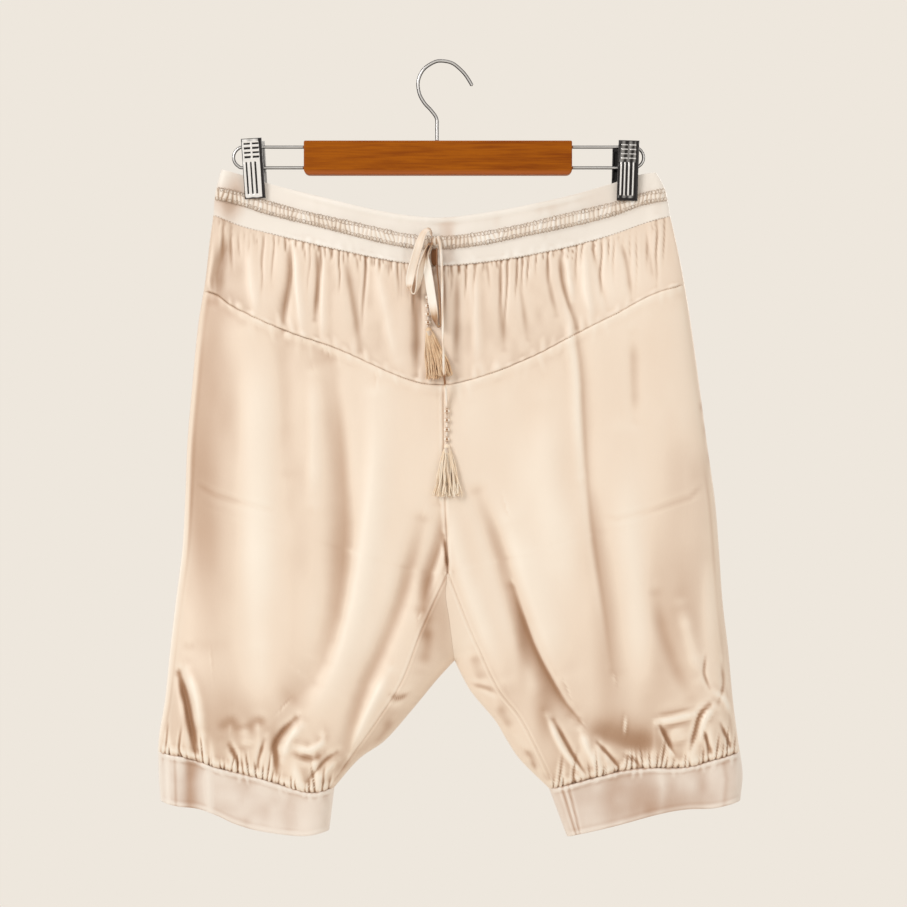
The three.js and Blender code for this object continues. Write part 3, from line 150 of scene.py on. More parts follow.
# Creases of the front, from top to bottom: how high (a trough is below 0), how far it
# spreads to the west and to the east, how square its shoulders are, and its course.
Crease = namedtuple("Crease", "height west east sharp course")
CREASES = (
    # broad shade by the side
    Crease(
        -3.6, 14, 17, 2,
        [(-194, -174), (-200, -233), (-207, -294), (-211, -355), (-206, -433), (-200, -502)],
    ),
    Crease(2.6, 13, 15, 2, [(-164, -237), (-162, -311), (-160, -398), (-157, -502)]),  # light ridge
    Crease(-1.6, 9, 10, 2, [(-139, -222), (-137, -276), (-134, -355)]),  # shade between
    Crease(1.6, 6, 8, 2, [(-111, -272), (-110, -320), (-111, -381)]),  # faint ridge
    # main trough
    Crease(
        -4.6, 13, 9, 2,
        [(-97, -261), (-89, -328), (-85, -407), (-92, -476), (-108, -527), (-127, -549)],
    ),
    # main ridge
    Crease(
        4, 9, 13, 2,
        [(-57, -289), (-58, -355), (-66, -415), (-78, -481), (-97, -542), (-121, -574)],
    ),
    # inner trough
    Crease(
        -4.4, 9, 8, 2,
        [(-18, -398), (-33, -457), (-49, -501), (-68, -544), (-80, -585), (-87, -609)],
    ),
    Crease(2.6, 5, 6, 1.6, [(-45, -527), (-66, -567), (-80, -600)]),  # inner ridge
    Crease(-3.6, 8, 5, 2, [(-2, -385), (0, -408), (-10, -441), (-18, -473)]),  # crotch shade
    Crease(-3.2, 2, 1.6, 1.6, [(2, -411), (4, -429), (5, -440)]),  # crotch slit
    Crease(-6.4, 3.2, 3.6, 1.7, [(-227, -530), (-221, -552), (-216, -576), (-213, -596)]),  # side tuck
    Crease(2.4, 4, 5, 1.8, [(-220, -527), (-211, -552), (-207, -581)]),  # side tuck lip
    Crease(-0.2, 4, 4, 1.8, [(-224, -503), (-218, -507), (-213, -503)]),  # star
    # spot 1
    Crease(
        -0.9, 5, 6, 2,
        [(-190, -583), (-187, -574), (-181, -571), (-176, -577), (-175, -588)],
    ),
    Crease(-0.85, 4, 5, 2, [(-165, -584), (-163, -573), (-157, -570), (-152, -576)]),  # spot 2
    Crease(1.4, 7, 7, 2, [(-171, -574), (-168, -594)]),  # bulge between
    Crease(-2.6, 2.2, 2.4, 1.6, [(-183, -591), (-177, -604), (-176, -614)]),  # crease a
    Crease(-2.5, 2, 2.2, 1.6, [(-153, -587), (-158, -604), (-160, -618)]),  # crease b
    # diagonal
    Crease(
        -4.2, 3, 3.6, 1.6,
        [(-126, -568), (-137, -579), (-144, -592), (-143, -604), (-144, -622)],
    ),
    Crease(2.8, 4, 4, 1.8, [(-121, -574), (-131, -586), (-137, -603)]),  # diagonal lip
    Crease(2.2, 3, 4, 1.7, [(-127, -593), (-115, -596), (-104, -590), (-102, -583)]),  # swirl
    Crease(-1.7, 3, 4, 1.7, [(-124, -600), (-111, -603), (-102, -598)]),  # swirl shade
    Crease(-2.6, 2.4, 2.6, 1.6, [(-91, -598), (-101, -605), (-116, -623)]),  # end diagonal
    Crease(1.6, 3, 3, 1.8, [(-89, -604), (-97, -612), (-108, -626)]),  # end ridge
    Crease(2.6, 8, 9, 2, [(6, -381), (14, -428), (31, -478), (53, -534)]),  # seam ridge
    # right trough
    Crease(
        -5, 9, 9, 2,
        [(31, -374), (46, -413), (58, -455), (72, -500), (90, -538), (109, -562)],
    ),
    # trough line
    Crease(
        -3, 5, 2.2, 1.6,
        [(61, -455), (69, -480), (79, -506), (92, -532), (106, -555), (118, -569)],
    ),
    Crease(3.2, 10, 16, 2, [(59, -398), (80, -468), (103, -530)]),  # puff ridge
    Crease(-3.2, 9, 11, 2, [(124, -574), (146, -583), (170, -590), (188, -592)]),  # under puff
    Crease(2.6, 3, 3.4, 1.7, [(90, -565), (104, -595), (121, -616)]),  # low ridge 1
    Crease(-3, 2, 2.2, 1.5, [(96, -569), (112, -598), (124, -617)]),  # low line 1
    Crease(3, 4, 4, 1.7, [(119, -578), (126, -596), (135, -614)]),  # finger
    Crease(-3, 2, 2.4, 1.5, [(134, -589), (144, -600), (151, -609), (152, -616)]),  # low line 2
    Crease(-2.4, 2, 2.2, 1.5, [(158, -601), (167, -605), (173, -613)]),  # low line 3
    Crease(2.2, 14, 15, 2, [(90, -294), (94, -363), (99, -433)]),  # long ridge
    # overlap line
    Crease(
        -2.2, 4.2, 9, 1.9,
        [
            (114, -190), (117, -236), (121, -270), (123, -306),
            (126, -359), (132, -415), (140, -468), (148, -527),
        ],
    ),
    # overlap lip
    Crease(
        1.2, 6, 4, 2,
        [(109, -193), (111, -236), (116, -270), (117, -306), (120, -359)],
    ),
    # light band
    Crease(
        2.4, 13, 12, 2,
        [(154, -320), (157, -389), (167, -459), (179, -527), (191, -555)],
    ),
    Crease(-0.9, 5, 6, 2, [(165, -237), (166, -276), (167, -311)]),  # faint line
    Crease(-2, 7, 7, 2, [(184, -462), (190, -492), (201, -524), (213, -550)]),  # dark band
    Crease(2.2, 7, 7, 2, [(206, -470), (213, -502), (222, -533)]),  # right ridge
    Crease(2.4, 2.4, 2.2, 1.6, [(184, -571), (200, -568), (217, -564)]),  # tuck top
    Crease(-4.2, 1.6, 3, 1.5, [(188, -574), (193, -585), (199, -597)]),  # tuck edge
    Crease(1.4, 7, 7, 2, [(200, -574), (207, -589)]),  # tuck field
    Crease(-3.2, 2.2, 3, 1.6, [(230, -557), (222, -565), (218, -579), (214, -594)]),  # fan 1
    Crease(2.4, 3, 3, 1.7, [(234, -558), (226, -569), (223, -586)]),  # fan 1 lip
    Crease(-2.8, 2, 2.2, 1.5, [(225, -577), (229, -589), (233, -602)]),  # fan 2
    Crease(-2.6, 2, 2.2, 1.5, [(241, -574), (247, -588), (250, -598)]),  # fan 3
    Crease(-1.2, 1.6, 1.8, 1.5, [(227, -515), (226, -529), (230, -542)]),  # side thin
    Crease(-1.2, 1.8, 2, 1.5, [(242, -522), (243, -541), (238, -555)]),  # side thin 2
    Crease(1.4, 3, 3, 1.7, [(235, -546), (244, -552), (249, -565)]),  # side fold
    Crease(1, 1.4, 1.4, 1.6, [(158, -567), (157, -582)]),  # scratch
    Crease(-1.6, 3, 3, 1.7, [(227, -299), (230, -320), (233, -341), (237, -370)]),  # pocket hollow
    Crease(-1, 6, 6, 2, [(-12, -486), (-13, -507), (-18, -526)]),  # left strip spot
    Crease(-0.9, 2.4, 2.8, 1.8, [(-45, -548), (-37, -551), (-29, -547)]),  # left strip crease
    Crease(-0.8, 4, 5, 2, [(-42, -566), (-50, -582), (-60, -597)]),  # left strip fold
    Crease(-1.2, 5, 6, 2, [(26, -510), (31, -527), (37, -540)]),  # right strip spot
    Crease(-0.8, 2.4, 2.8, 1.8, [(26, -540), (37, -542), (47, -546)]),  # right strip crease
    Crease(-1, 3.5, 4.5, 2, [(48, -555), (53, -567), (61, -579)]),  # right strip fold
    Crease(-1.6, 3, 3, 1.7, [(70, -594), (77, -603), (82, -616)]),  # right strip fold 2
    # creases of the hip yoke, from left to right
    Crease(-2.2, 6, 6, 1.8, [(-186, -147), (-191, -172), (-197, -207)]),
    Crease(1.8, 5, 6, 1.8, [(-168, -154), (-165, -189), (-160, -224)]),
    Crease(-2.8, 5, 3, 1.6, [(-133, -154), (-131, -181), (-136, -215), (-137, -233)]),
    Crease(2.2, 3, 5, 1.8, [(-130, -157), (-126, -194), (-121, -237)]),
    Crease(-2.4, 3, 3, 1.6, [(-109, -161), (-107, -185), (-110, -224)]),
    Crease(1.8, 3, 5, 1.8, [(-104, -167), (-104, -198), (-103, -246)]),
    Crease(-1.9, 4, 5, 1.8, [(-84, -168), (-77, -207), (-70, -250)]),
    Crease(1.7, 5, 6, 1.8, [(-56, -174), (-49, -215), (-40, -259)]),
    Crease(-3.4, 6, 5, 1.8, [(-24, -179), (-22, -215), (-22, -272)]),
    Crease(-1.6, 4, 4, 1.8, [(13, -182), (13, -215), (12, -259)]),
    Crease(1.6, 4, 5, 1.8, [(27, -179), (29, -215), (31, -263)]),
    Crease(-1.5, 4, 4, 1.7, [(50, -174), (51, -207), (54, -250)]),
    Crease(-1, 3, 4, 1.7, [(63, -170), (68, -198), (74, -241)]),
    Crease(-1, 3, 3, 1.7, [(90, -166), (92, -189), (99, -220)]),
    Crease(-2, 2.6, 3.6, 1.6, [(102, -163), (104, -189), (110, -212), (116, -231)]),
    Crease(1.8, 3, 3, 1.7, [(108, -165), (110, -186), (113, -207)]),
    Crease(1.8, 4, 4, 1.8, [(124, -161), (125, -198), (130, -226)]),
    Crease(-1.1, 3, 4, 1.7, [(132, -160), (137, -189), (143, -215)]),
    Crease(-1.5, 3, 4, 1.7, [(154, -153), (160, -174), (164, -207)]),
    Crease(-0.8, 4, 4, 1.7, [(177, -149), (181, -174), (185, -194)]),
)
BACK_MIRROR = 12  # the back has the same creases turned over about this middle

# The two clips: how far each back plate has slipped along and dropped below its front one.
ClipPlace = namedtuple("ClipPlace", "name side x tilt top slipped dropped")
CLIPS = (
    ClipPlace("left", LEFT, -165.4, -0.064, -66.8, 1.6, 1),
    ClipPlace("right", RIGHT, 162.2, 0.03, -68.6, -4.4, 5),
)
CLIP_REACH = 13
CLIP_GRIP = 1.6
BAND_OPEN_BETWEEN = 9
BAND_OPEN_OUTSIDE = 4
BAND_EASE_BETWEEN = 75
BAND_EASE_OUTSIDE = 14
PRESSED_TO = -128
PRESS_FADE = 85
PUFF_FROM = -480
CUFF_LEVEL = -610
INNER_FOLD_FROM = -420
FLAT_DEPTH = 1.8
RELIEF_ROOM = 4
EDGE_FADE = 7


# ------------------------------------------------------------------ curves and fields
def mix(first, last, share):
    return first + (last - first) * share


def smooth(share):
    t = np.clip(share, 0, 1)
    return t * t * (3 - 2 * t)


def reading(rows, place, column):
    """A smooth curve through one column of a table, read by another column."""
    rows = sorted(rows, key=lambda row: getattr(row, place))
    at = np.array([getattr(row, place) for row in rows], float)
    value = np.array([getattr(row, column) for row in rows], float)
    numbers = np.arange(len(rows))
    before = np.maximum(numbers - 1, 0)
    after = np.minimum(numbers + 1, len(rows) - 1)
    slope = (value[after] - value[before]) / (at[after] - at[before])

    def read(wanted):
        wanted = np.asarray(wanted, float)
        i = np.clip(np.searchsorted(at, wanted, side="right") - 1, 0, len(rows) - 2)
        span = at[i + 1] - at[i]
        t = np.clip((wanted - at[i]) / span, 0, 1)
        t2 = t * t
        t3 = t2 * t
        return (
            (2 * t3 - 3 * t2 + 1) * value[i]
            + (t3 - 2 * t2 + t) * span * slope[i]
            + (3 * t2 - 2 * t3) * value[i + 1]
            + (t3 - t2) * span * slope[i + 1]
        )

    return read


LINE_STEPS = 400


def through(points):
    """A smooth line through points, read by the share of its length."""
    points = np.array(points, float)
    place = np.linspace(0, len(points) - 1, LINE_STEPS + 1)
    i = np.minimum(place.astype(int), len(points) - 2)
    w = (place - i)[:, None]
    here, there = points[i], points[i + 1]
    before = points[np.maximum(i - 1, 0)]
    beyond = points[np.minimum(i + 2, len(points) - 1)]
    leaving = (there - before) / 2
    arriving = (beyond - here) / 2
    line = (
        (2 * here - 2 * there + leaving + arriving) * w**3
        + (3 * there - 3 * here - 2 * leaving - arriving) * w**2
        + leaving * w
        + here
    )
    steps = np.linalg.norm(np.diff(line, axis=0), axis=1)
    lengths = np.concatenate([[0], np.cumsum(steps)])

    def at(share):
        wanted = np.clip(share, 0, 1) * lengths[-1]
        return np.stack([np.interp(wanted, lengths, column) for column in line.T], -1)

    return at


left_edge = reading(LEVELS, "z", "left")
right_edge = reading(LEVELS, "z", "right")
body_depth = reading(LEVELS, "z", "depth")
side_turn = reading(LEVELS, "z", "side_turn")
fold_turn = reading(LEVELS, "z", "fold_turn")
band_top = reading(BAND, "x", "top")
casing_top = reading(BAND, "x", "casing_top")
casing_foot = reading(BAND, "x", "casing_foot")
waist_seam = reading(BAND, "x", "waist")
yoke_seam = reading(YOKE_SEAM, "x", "z")
END_PASSES = 5


def edge_at(side):
    return left_edge if side == LEFT else right_edge


def cross_line(height_at):
    """A line that crosses the garment from its left edge to its right edge."""
    ends = []
    for side in (LEFT, RIGHT):
        z = float(height_at(edge_at(side)(LEVELS[3].z)))
        for _ in range(END_PASSES):
            z = float(height_at(edge_at(side)(z)))
        ends.append(float(edge_at(side)(z)))

    def line(share):
        x = mix(ends[0], ends[1], np.asarray(share, float))
        return np.stack([x, height_at(x)], -1)

    return line


def side_line(side, top, foot):
    def line(share):
        z = mix(top, foot, np.asarray(share, float))
        return np.stack([edge_at(side)(z), z], -1)

    return line


def patch(top, foot, first, last):
    """The sheet inside four lines that share their corners."""

    def sheet(u, v):
        u, v = np.broadcast_arrays(u, v)
        a, b = u[..., None], v[..., None]
        across = top(u) * (1 - b) + foot(u) * b
        down = first(v) * (1 - a) + last(v) * a
        near = top(0) * (1 - a) + top(1) * a
        far = foot(0) * (1 - a) + foot(1) * a
        return across + down - near * (1 - b) - far * b

    return sheet


def from_line(x, z, line):
    """Distance to a line of points, which side it is on (east is above 0) and the share
    of the line at the nearest place."""
    nearest = np.full(x.shape, np.inf)
    side = np.zeros(x.shape)
    share = np.zeros(x.shape)
    steps = np.diff(line, axis=0)
    lengths = np.linalg.norm(steps, axis=1)
    walked = np.concatenate([[0], np.cumsum(lengths)])
    for start, (dx, dz), length, before in zip(line, steps, lengths, walked):
        px, pz = x - start[0], z - start[1]
        t = np.clip((px * dx + pz * dz) / length**2, 0, 1)
        away = np.hypot(px - t * dx, pz - t * dz)
        closer = away < nearest
        nearest = np.where(closer, away, nearest)
        side = np.where(closer, np.sign(dx * pz - dz * px), side)
        share = np.where(closer, (before + t * length) / walked[-1], share)
    return nearest, side, share


FOLD_STEPS = 24


def inner_outline(leg):
    line = through(leg.fold)(np.linspace(0, 1, FOLD_STEPS))
    return np.vstack([line, leg.hem[-1]])


INNER_OUTLINE = {leg.name: inner_outline(leg) for leg in LEGS}
CUFF_SEAM_Z = {
    leg.name: reading([SeamPoint(*place) for place in leg.cuff_seam], "x", "z") for leg in LEGS
}


def on_legs(x, measure):
    """A measure of the leg that each place belongs to."""
    return np.where(x < CROTCH_X, measure(LEFT_LEG), measure(RIGHT_LEG))


def level_of(x, z):
    """The puff above the cuff follows the slanting cuff seam."""
    seam = on_legs(x, lambda leg: CUFF_SEAM_Z[leg.name](x))
    puff = mix(CUFF_LEVEL, PUFF_FROM, (z - seam) / (PUFF_FROM - seam))
    return np.where(z > PUFF_FROM, z, np.where(z < seam, CUFF_LEVEL + z - seam, puff))


def turned(distance, width):
    return np.sqrt(1 - (1 - np.clip(distance / width, 0, 1)) ** 2)


def band_depth(x):
    depth = np.full(np.shape(x), float(BAND_OPEN_BETWEEN))
    for clip in CLIPS:
        outwards = clip.side * (x - clip.x)
        away = np.abs(outwards) - CLIP_REACH
        ease = np.where(outwards > 0, BAND_EASE_OUTSIDE, BAND_EASE_BETWEEN)
        opening = np.where(outwards > 0, BAND_OPEN_OUTSIDE, BAND_OPEN_BETWEEN)
        depth = np.minimum(depth, mix(CLIP_GRIP, opening, smooth(away / ease)))
    return depth


def edge_distances(x, z):
    from_side = np.maximum(0, np.minimum(x - left_edge(z), right_edge(z) - x))
    to_fold = on_legs(x, lambda leg: from_line(x, z, INNER_OUTLINE[leg.name])[0])
    return from_side, np.where(z < INNER_FOLD_FROM, to_fold, np.inf)


def plain_depth(x, z):
    """How far the cloth stands from the middle plane, without its creases."""
    level = level_of(x, z)
    from_side, from_fold = edge_distances(x, z)
    pressed = smooth((PRESSED_TO - z) / PRESS_FADE)
    body = mix(band_depth(x), body_depth(level), pressed)
    rounding = turned(from_side, side_turn(level)) * turned(from_fold, fold_turn(level))
    return body * rounding, np.minimum(from_side, from_fold)


COURSE_STEPS = 16
SPREAD = 2.6  # half widths past which a crease is left out
END_SHARE = 0.3
END_HEIGHT = 0.3


def crease_relief(face, x, z, least=0):
    """The height of all creases at each place of one face, or of the broad ones only."""
    across = x if face == FRONT else BACK_MIRROR - x
    relief = np.zeros(x.shape)
    for crease in CREASES:
        if crease.west + crease.east < least:
            continue
        line = through(crease.course)(np.linspace(0, 1, COURSE_STEPS))
        reach = SPREAD * max(crease.west, crease.east)
        low, high = line.min(0) - reach, line.max(0) + reach
        near = (across > low[0]) & (across < high[0]) & (z > low[1]) & (z < high[1])
        if not near.any():
            continue
        away, side, share = from_line(across[near], z[near], line)
        width = np.where(side > 0, crease.east, crease.west)
        end = mix(END_HEIGHT, 1, smooth(np.minimum(share, 1 - share) / END_SHARE))
        relief[near] += crease.height * end * np.exp(-((away / width) ** crease.sharp))
    return relief


def ripple(x, z, size, seed):
    """Soft random ups and downs, about 1 high, of one size."""
    rng = np.random.default_rng(seed)
    grid = rng.uniform(-1, 1, (64, 64))
    gx, gz = x / size[0] + 32, z / size[1] + 48
    i, j = np.floor(gx).astype(int), np.floor(gz).astype(int)
    a, b = smooth(gx - i), smooth(gz - j)
    i0, i1, j0, j1 = i % 64, (i + 1) % 64, j % 64, (j + 1) % 64
    top = mix(grid[i0, j0], grid[i1, j0], a)
    foot = mix(grid[i0, j1], grid[i1, j1], a)
    return mix(top, foot, b)


Gathering = namedtuple("Gathering", "seed pitch height shortest longest lean")


def gather_relief(x, away, rule, ends):
    """Ridges, or creases below 0, that start at a seam and fade out at uneven lengths."""
    rng = np.random.default_rng(rule.seed)
    count = int((ends[1] - ends[0]) / rule.pitch)
    relief = -0.42 * max(rule.height, 0) * (1 - smooth(away / rule.longest))
    for number in range(count):
        start, tall, long, wide, slant, wander, sharp = rng.uniform(0, 1, 7)
        length = mix(rule.shortest, rule.longest, long**1.6)
        height = rule.height * mix(0.45, 1.25, tall)
        half = rule.pitch * (mix(0.26, 0.44, wide) if rule.height > 0 else mix(0.1, 0.2, wide))
        place = ends[0] + (number + mix(0.15, 0.85, start)) * rule.pitch
        centre = place + mix(-rule.lean, rule.lean, slant) * away
        centre = centre + 0.06 * rule.pitch * np.sin(away / mix(5, 11, wander) + number)
        across = np.abs((x - centre) / half)
        along = smooth((away + 2) / 3) * (1 - smooth((away / length - 0.2) / 0.8))
        relief = relief + height * along * np.exp(-(across ** mix(1.4, 2.2, sharp)))
    return relief


def dip(distance, depth, width):
    return -depth * np.exp(-((distance / width) ** 2))


def piping(distance, height, centre, width):
    return height * np.exp(-(((distance - centre) / width) ** 2))


# ------------------------------------------------------------------ gathers and seam rules
YOKE_GATHERS = Gathering(11, 6.8, -1.4, 10, 80, 0.05)
YOKE_FINE_GATHERS = Gathering(12, 4.3, -1.2, 4, 18, 0.1)
YOKE_SEAM_PUCKERS = Gathering(13, 8.5, 0.7, 4, 20, 0.2)
LEG_TOP_PUCKERS = Gathering(14, 9.5, 0.35, 5, 30, 0.2)
CUFF_GATHERS = Gathering(15, 5.2, -2.2, 5, 34, 0.2)
CUFF_LONG_GATHERS = Gathering(16, 15, 1.6, 24, 58, 0.25)
CUFF_PUCKERS = Gathering(17, 5.4, 0.55, 3, 13, 0.2)
BAND_PUCKERS = Gathering(18, 6.2, 0.55, 4, 13, 0.2)
BACK_SEED = 50
SEAM_DEPTH = 0.7
SEAM_WIDTH = 0.95
CUFF_SEAM_DEPTH = 1
ALLOWANCE = 6.3  # the seam allowance that shows below the yoke seam
ALLOWANCE_HEIGHT = 0.16
INSEAM_PIPING = 0.14
SIDE_SEAM_INSET = 6
SIDE_SEAM_TOP = -350
POCKET_IMPRINT = 0.22
POCKET_EDGES = (
    ((-215, -365), (-196, -376), (-170, -383), (-141, -390)),
    ((228, -365), (214, -378), (177, -390), (151, -396), (137, -394)),
)


def rule_for(face, rule):
    return rule if face == FRONT else rule._replace(seed=rule.seed + BACK_SEED)


def seam_ends(height_at):
    line = cross_line(height_at)
    return float(line(0)[0]), float(line(1)[0])


def band_relief(face, x, z, _leg):
    relief = gather_relief(x, z - waist_seam(x), rule_for(face, BAND_PUCKERS), seam_ends(waist_seam))
    relief += dip(z - waist_seam(x), SEAM_DEPTH, SEAM_WIDTH)
    relief += piping(band_top(x) - z, 0.5, 2.6, 2.2)
    relief += 0.55 * ripple(x, z, (23, 14), 31 + face)
    relief += 0.16 * ripple(x, z, (6, 15), 35 + face)
    relief += dip(x - 3, 0.7, 9) * smooth((band_top(x) - z) / 6)
    return relief


def yoke_relief(face, x, z, _leg):
    below = waist_seam(x) - z
    above = z - yoke_seam(x)
    ends = seam_ends(waist_seam)
    relief = crease_relief(face, x, z)
    relief += gather_relief(x, below, rule_for(face, YOKE_GATHERS), ends)
    relief += gather_relief(x, below, rule_for(face, YOKE_FINE_GATHERS), ends)
    relief += gather_relief(x, above, rule_for(face, YOKE_SEAM_PUCKERS), seam_ends(yoke_seam))
    relief += dip(below, SEAM_DEPTH, SEAM_WIDTH) + dip(above, SEAM_DEPTH, SEAM_WIDTH)
    relief += 0.5 * ripple(x, z, (17, 34), 41 + face)
    relief += 0.2 * ripple(x, z, (7, 13), 45 + face)
    return relief


def seam_away(x, z, points):
    return from_line(x, z, through(points)(np.linspace(0, 1, 3 * COURSE_STEPS)))[0]


def leg_relief(face, x, z, leg):
    below = yoke_seam(x) - z
    above = z - CUFF_SEAM_Z[leg.name](x)
    cuff_ends = sorted((leg.cuff_seam[0][0], leg.cuff_seam[-1][0]))
    relief = crease_relief(face, x, z)
    relief += gather_relief(x, below, rule_for(face, LEG_TOP_PUCKERS), seam_ends(yoke_seam))
    relief += gather_relief(x, above, rule_for(face, CUFF_GATHERS), cuff_ends)
    relief += gather_relief(x, above, rule_for(face, CUFF_LONG_GATHERS), cuff_ends)
    relief += dip(below, SEAM_DEPTH, SEAM_WIDTH) + dip(above, CUFF_SEAM_DEPTH, 2 * SEAM_WIDTH)
    relief += piping(above, 0.7, 4.5, 2.6)
    relief += ALLOWANCE_HEIGHT * smooth((ALLOWANCE + 1.6 - below) / 3.2)
    relief += 0.75 * ripple(x, z, (26, 60), 51 + face)
    relief += 0.1 * ripple(x, z, (11, 24), 55 + face)
    centre = FRONT_SEAM if face == FRONT else BACK_SEAM_BEHIND
    middle = seam_away(x, z, centre)
    relief += dip(middle, SEAM_DEPTH, SEAM_WIDTH) + piping(middle, 0.25, 2.2, 1)
    if face == FRONT:
        inseam = seam_away(x, z, leg.inseam)
        relief += dip(inseam, 0.6 * SEAM_DEPTH, SEAM_WIDTH) + piping(inseam, INSEAM_PIPING, 2, 0.9)
        seam_x = edge_at(leg.side)(z) - leg.side * SIDE_SEAM_INSET
        relief += dip(x - seam_x, 0.18, 1) * smooth((SIDE_SEAM_TOP - z) / 30)
        for edge in POCKET_EDGES:
            away, _side, share = from_line(x, z, np.array(edge, float))
            end = smooth(np.minimum(share, 1 - share) / 0.15)
            relief += dip(away, POCKET_IMPRINT, 2.4) * end
    return relief


CUFF_CREASES = {
    "left": (
        Crease(-0.4, 1.2, 2, 1.6, [(-231, -600), (-230, -648)]),
        Crease(-2.4, 6, 8, 2, [(-217, -600), (-217, -650)]),
        Crease(1, 3, 3, 2, [(-238, -600), (-237, -645)]),
        Crease(0.9, 4, 4, 1.8, [(-202, -606), (-200, -660)]),
        Crease(-0.5, 8, 8, 1.8, [(-165, -618), (-172, -640), (-168, -668)]),
        Crease(-0.5, 6, 9, 1.8, [(-128, -630), (-134, -650), (-131, -672)]),
    ),
    "right": (
        Crease(-0.7, 0.9, 1.1, 1.6, [(102.7, -626), (110, -650), (117.5, -674)]),
        Crease(-0.6, 0.8, 1.1, 1.6, [(108.5, -626), (114.5, -650), (119.5, -672)]),
        Crease(-0.5, 9, 10, 1.8, [(150, -614), (146, -640), (149, -664)]),
        Crease(0.8, 6, 6, 1.8, [(188, -611), (191, -630), (189, -652)]),
        Crease(-0.8, 8, 10, 1.8, [(222, -608), (226, -628), (224, -648)]),
        Crease(-0.5, 3, 4, 1.7, [(243, -602), (246, -622), (244, -645)]),
    ),
}


def cuff_relief(face, x, z, leg):
    below = CUFF_SEAM_Z[leg.name](x) - z
    hem = reading([SeamPoint(*place) for place in leg.hem], "x", "z")
    cuff_ends = sorted((leg.cuff_seam[0][0], leg.cuff_seam[-1][0]))
    relief = gather_relief(x, below, rule_for(face, CUFF_PUCKERS), cuff_ends)
    relief += dip(below, 0.6, 1.1) + piping(below, 0.45, 2.2, 1.3)
    relief += piping(z - hem(x), 0.4, 2, 1.8)
    relief += 0.65 * ripple(x, z, (19, 24), 61 + face)
    relief += 0.22 * ripple(x, z, (9, 11), 65 + face)
    for crease in CUFF_CREASES[leg.name]:
        away, side, _share = from_line(x, z, np.array(crease.course, float))
        width = np.where(side > 0, crease.east, crease.west)
        relief += crease.height * np.exp(-((away / width) ** crease.sharp))
    return relief


TONE_SPAN = 4.2  # relief that takes the cloth near its lightest or darkest tone

# Broad soft lights and shades of the hanging cloth: how strong, where and how far.
Shade = namedtuple("Shade", "strength x z wide tall")
SHADES = (
    Shade(-0.3, 196, -470, 50, 66),
    Shade(0.45, -160, -462, 12, 75),
    Shade(-0.12, -124, -450, 13, 80),
    Shade(-0.35, 143, -500, 9, 58),
    Shade(0.3, 168, -512, 10, 42),
    Shade(-0.3, 130, -118, 60, 20),
    Shade(0.35, 98, -440, 24, 70),
    Shade(0.4, 150, -190, 46, 40),
    Shade(-0.5, 172, -582, 17, 12),
    Shade(-0.35, 182, -540, 62, 40),
    Shade(-0.6, 146, -574, 20, 13),
    Shade(-0.5, 172, -590, 24, 12),
    Shade(0.35, 231, -468, 7, 60),
    Shade(0.3, 168, -420, 12, 90),
    Shade(-0.7, 88, -556, 9, 26),
    Shade(-0.5, 70, -508, 6, 30),
    Shade(-0.8, -224, -545, 3.5, 9),
    Shade(-1, -219, -568, 3.6, 13),
    Shade(-0.8, -214.5, -588, 3, 9),
    Shade(-0.7, -144, -592, 4, 14),
    Shade(-0.6, -14, -470, 7, 26),
    Shade(-0.9, 3, -434, 2.4, 14),
    Shade(-0.4, -204, -330, 24, 150),
    Shade(-0.45, -178, -569, 58, 28),
    Shade(-0.25, -86, -440, 17, 110),
    Shade(-0.2, 74, -560, 26, 46),
    Shade(0.3, -68, -470, 28, 110),
    Shade(0.22, -150, -400, 26, 130),
    Shade(0.25, 56, -390, 42, 110),
    Shade(-0.15, -194, -180, 20, 50),
    Shade(-0.55, 176, -640, 56, 26),
    Shade(-1, -178, -112, 8, 15),
    Shade(-0.7, -192, -118, 10, 9),
    Shade(-1, 227.5, -299, 3, 5),
    Shade(-0.9, 230.5, -318, 2.5, 7),
    Shade(-0.9, 233.5, -341, 2.5, 8),
    Shade(-0.9, -186, -127, 9, 12),
    Shade(-0.5, 6, -150, 7, 22),
)


SMALL_SHADE = 4  # narrower ones belong to the front alone


def shaded(face, x, z):
    across = x if face == FRONT else BACK_MIRROR - x
    tone = np.zeros(x.shape)
    for shade in SHADES:
        if face == BACK and shade.wide < SMALL_SHADE:
            continue
        away = ((across - shade.x) / shade.wide) ** 2 + ((z - shade.z) / shade.tall) ** 2
        tone += shade.strength * np.exp(-away)
    return tone


CAVITY_REACH = 2  # steps of the mesh
CAVITY_GAIN = 1.1


def cavity(relief):
    """How far each place stands above its neighbours, so that thin creases get painted shade and thin
    ridges painted light.
    """
    if relief.ndim < 2:
        return np.zeros(relief.shape)
    kept = np.pad(relief, CAVITY_REACH, mode="edge")
    end = 2 * CAVITY_REACH
    around = kept[CAVITY_REACH:-CAVITY_REACH, :-end] + kept[CAVITY_REACH:-CAVITY_REACH, end:]
    around = around + kept[:-end, CAVITY_REACH:-CAVITY_REACH] + kept[end:, CAVITY_REACH:-CAVITY_REACH]
    return relief - around / 4


BROAD = 13  # width of a crease that the light shows by itself
BROAD_TONE = 0.6
RIM_LIGHT = 0.8  # painted light: a pale line down the edge of the left leg
RIM_WIDTH = 3.2


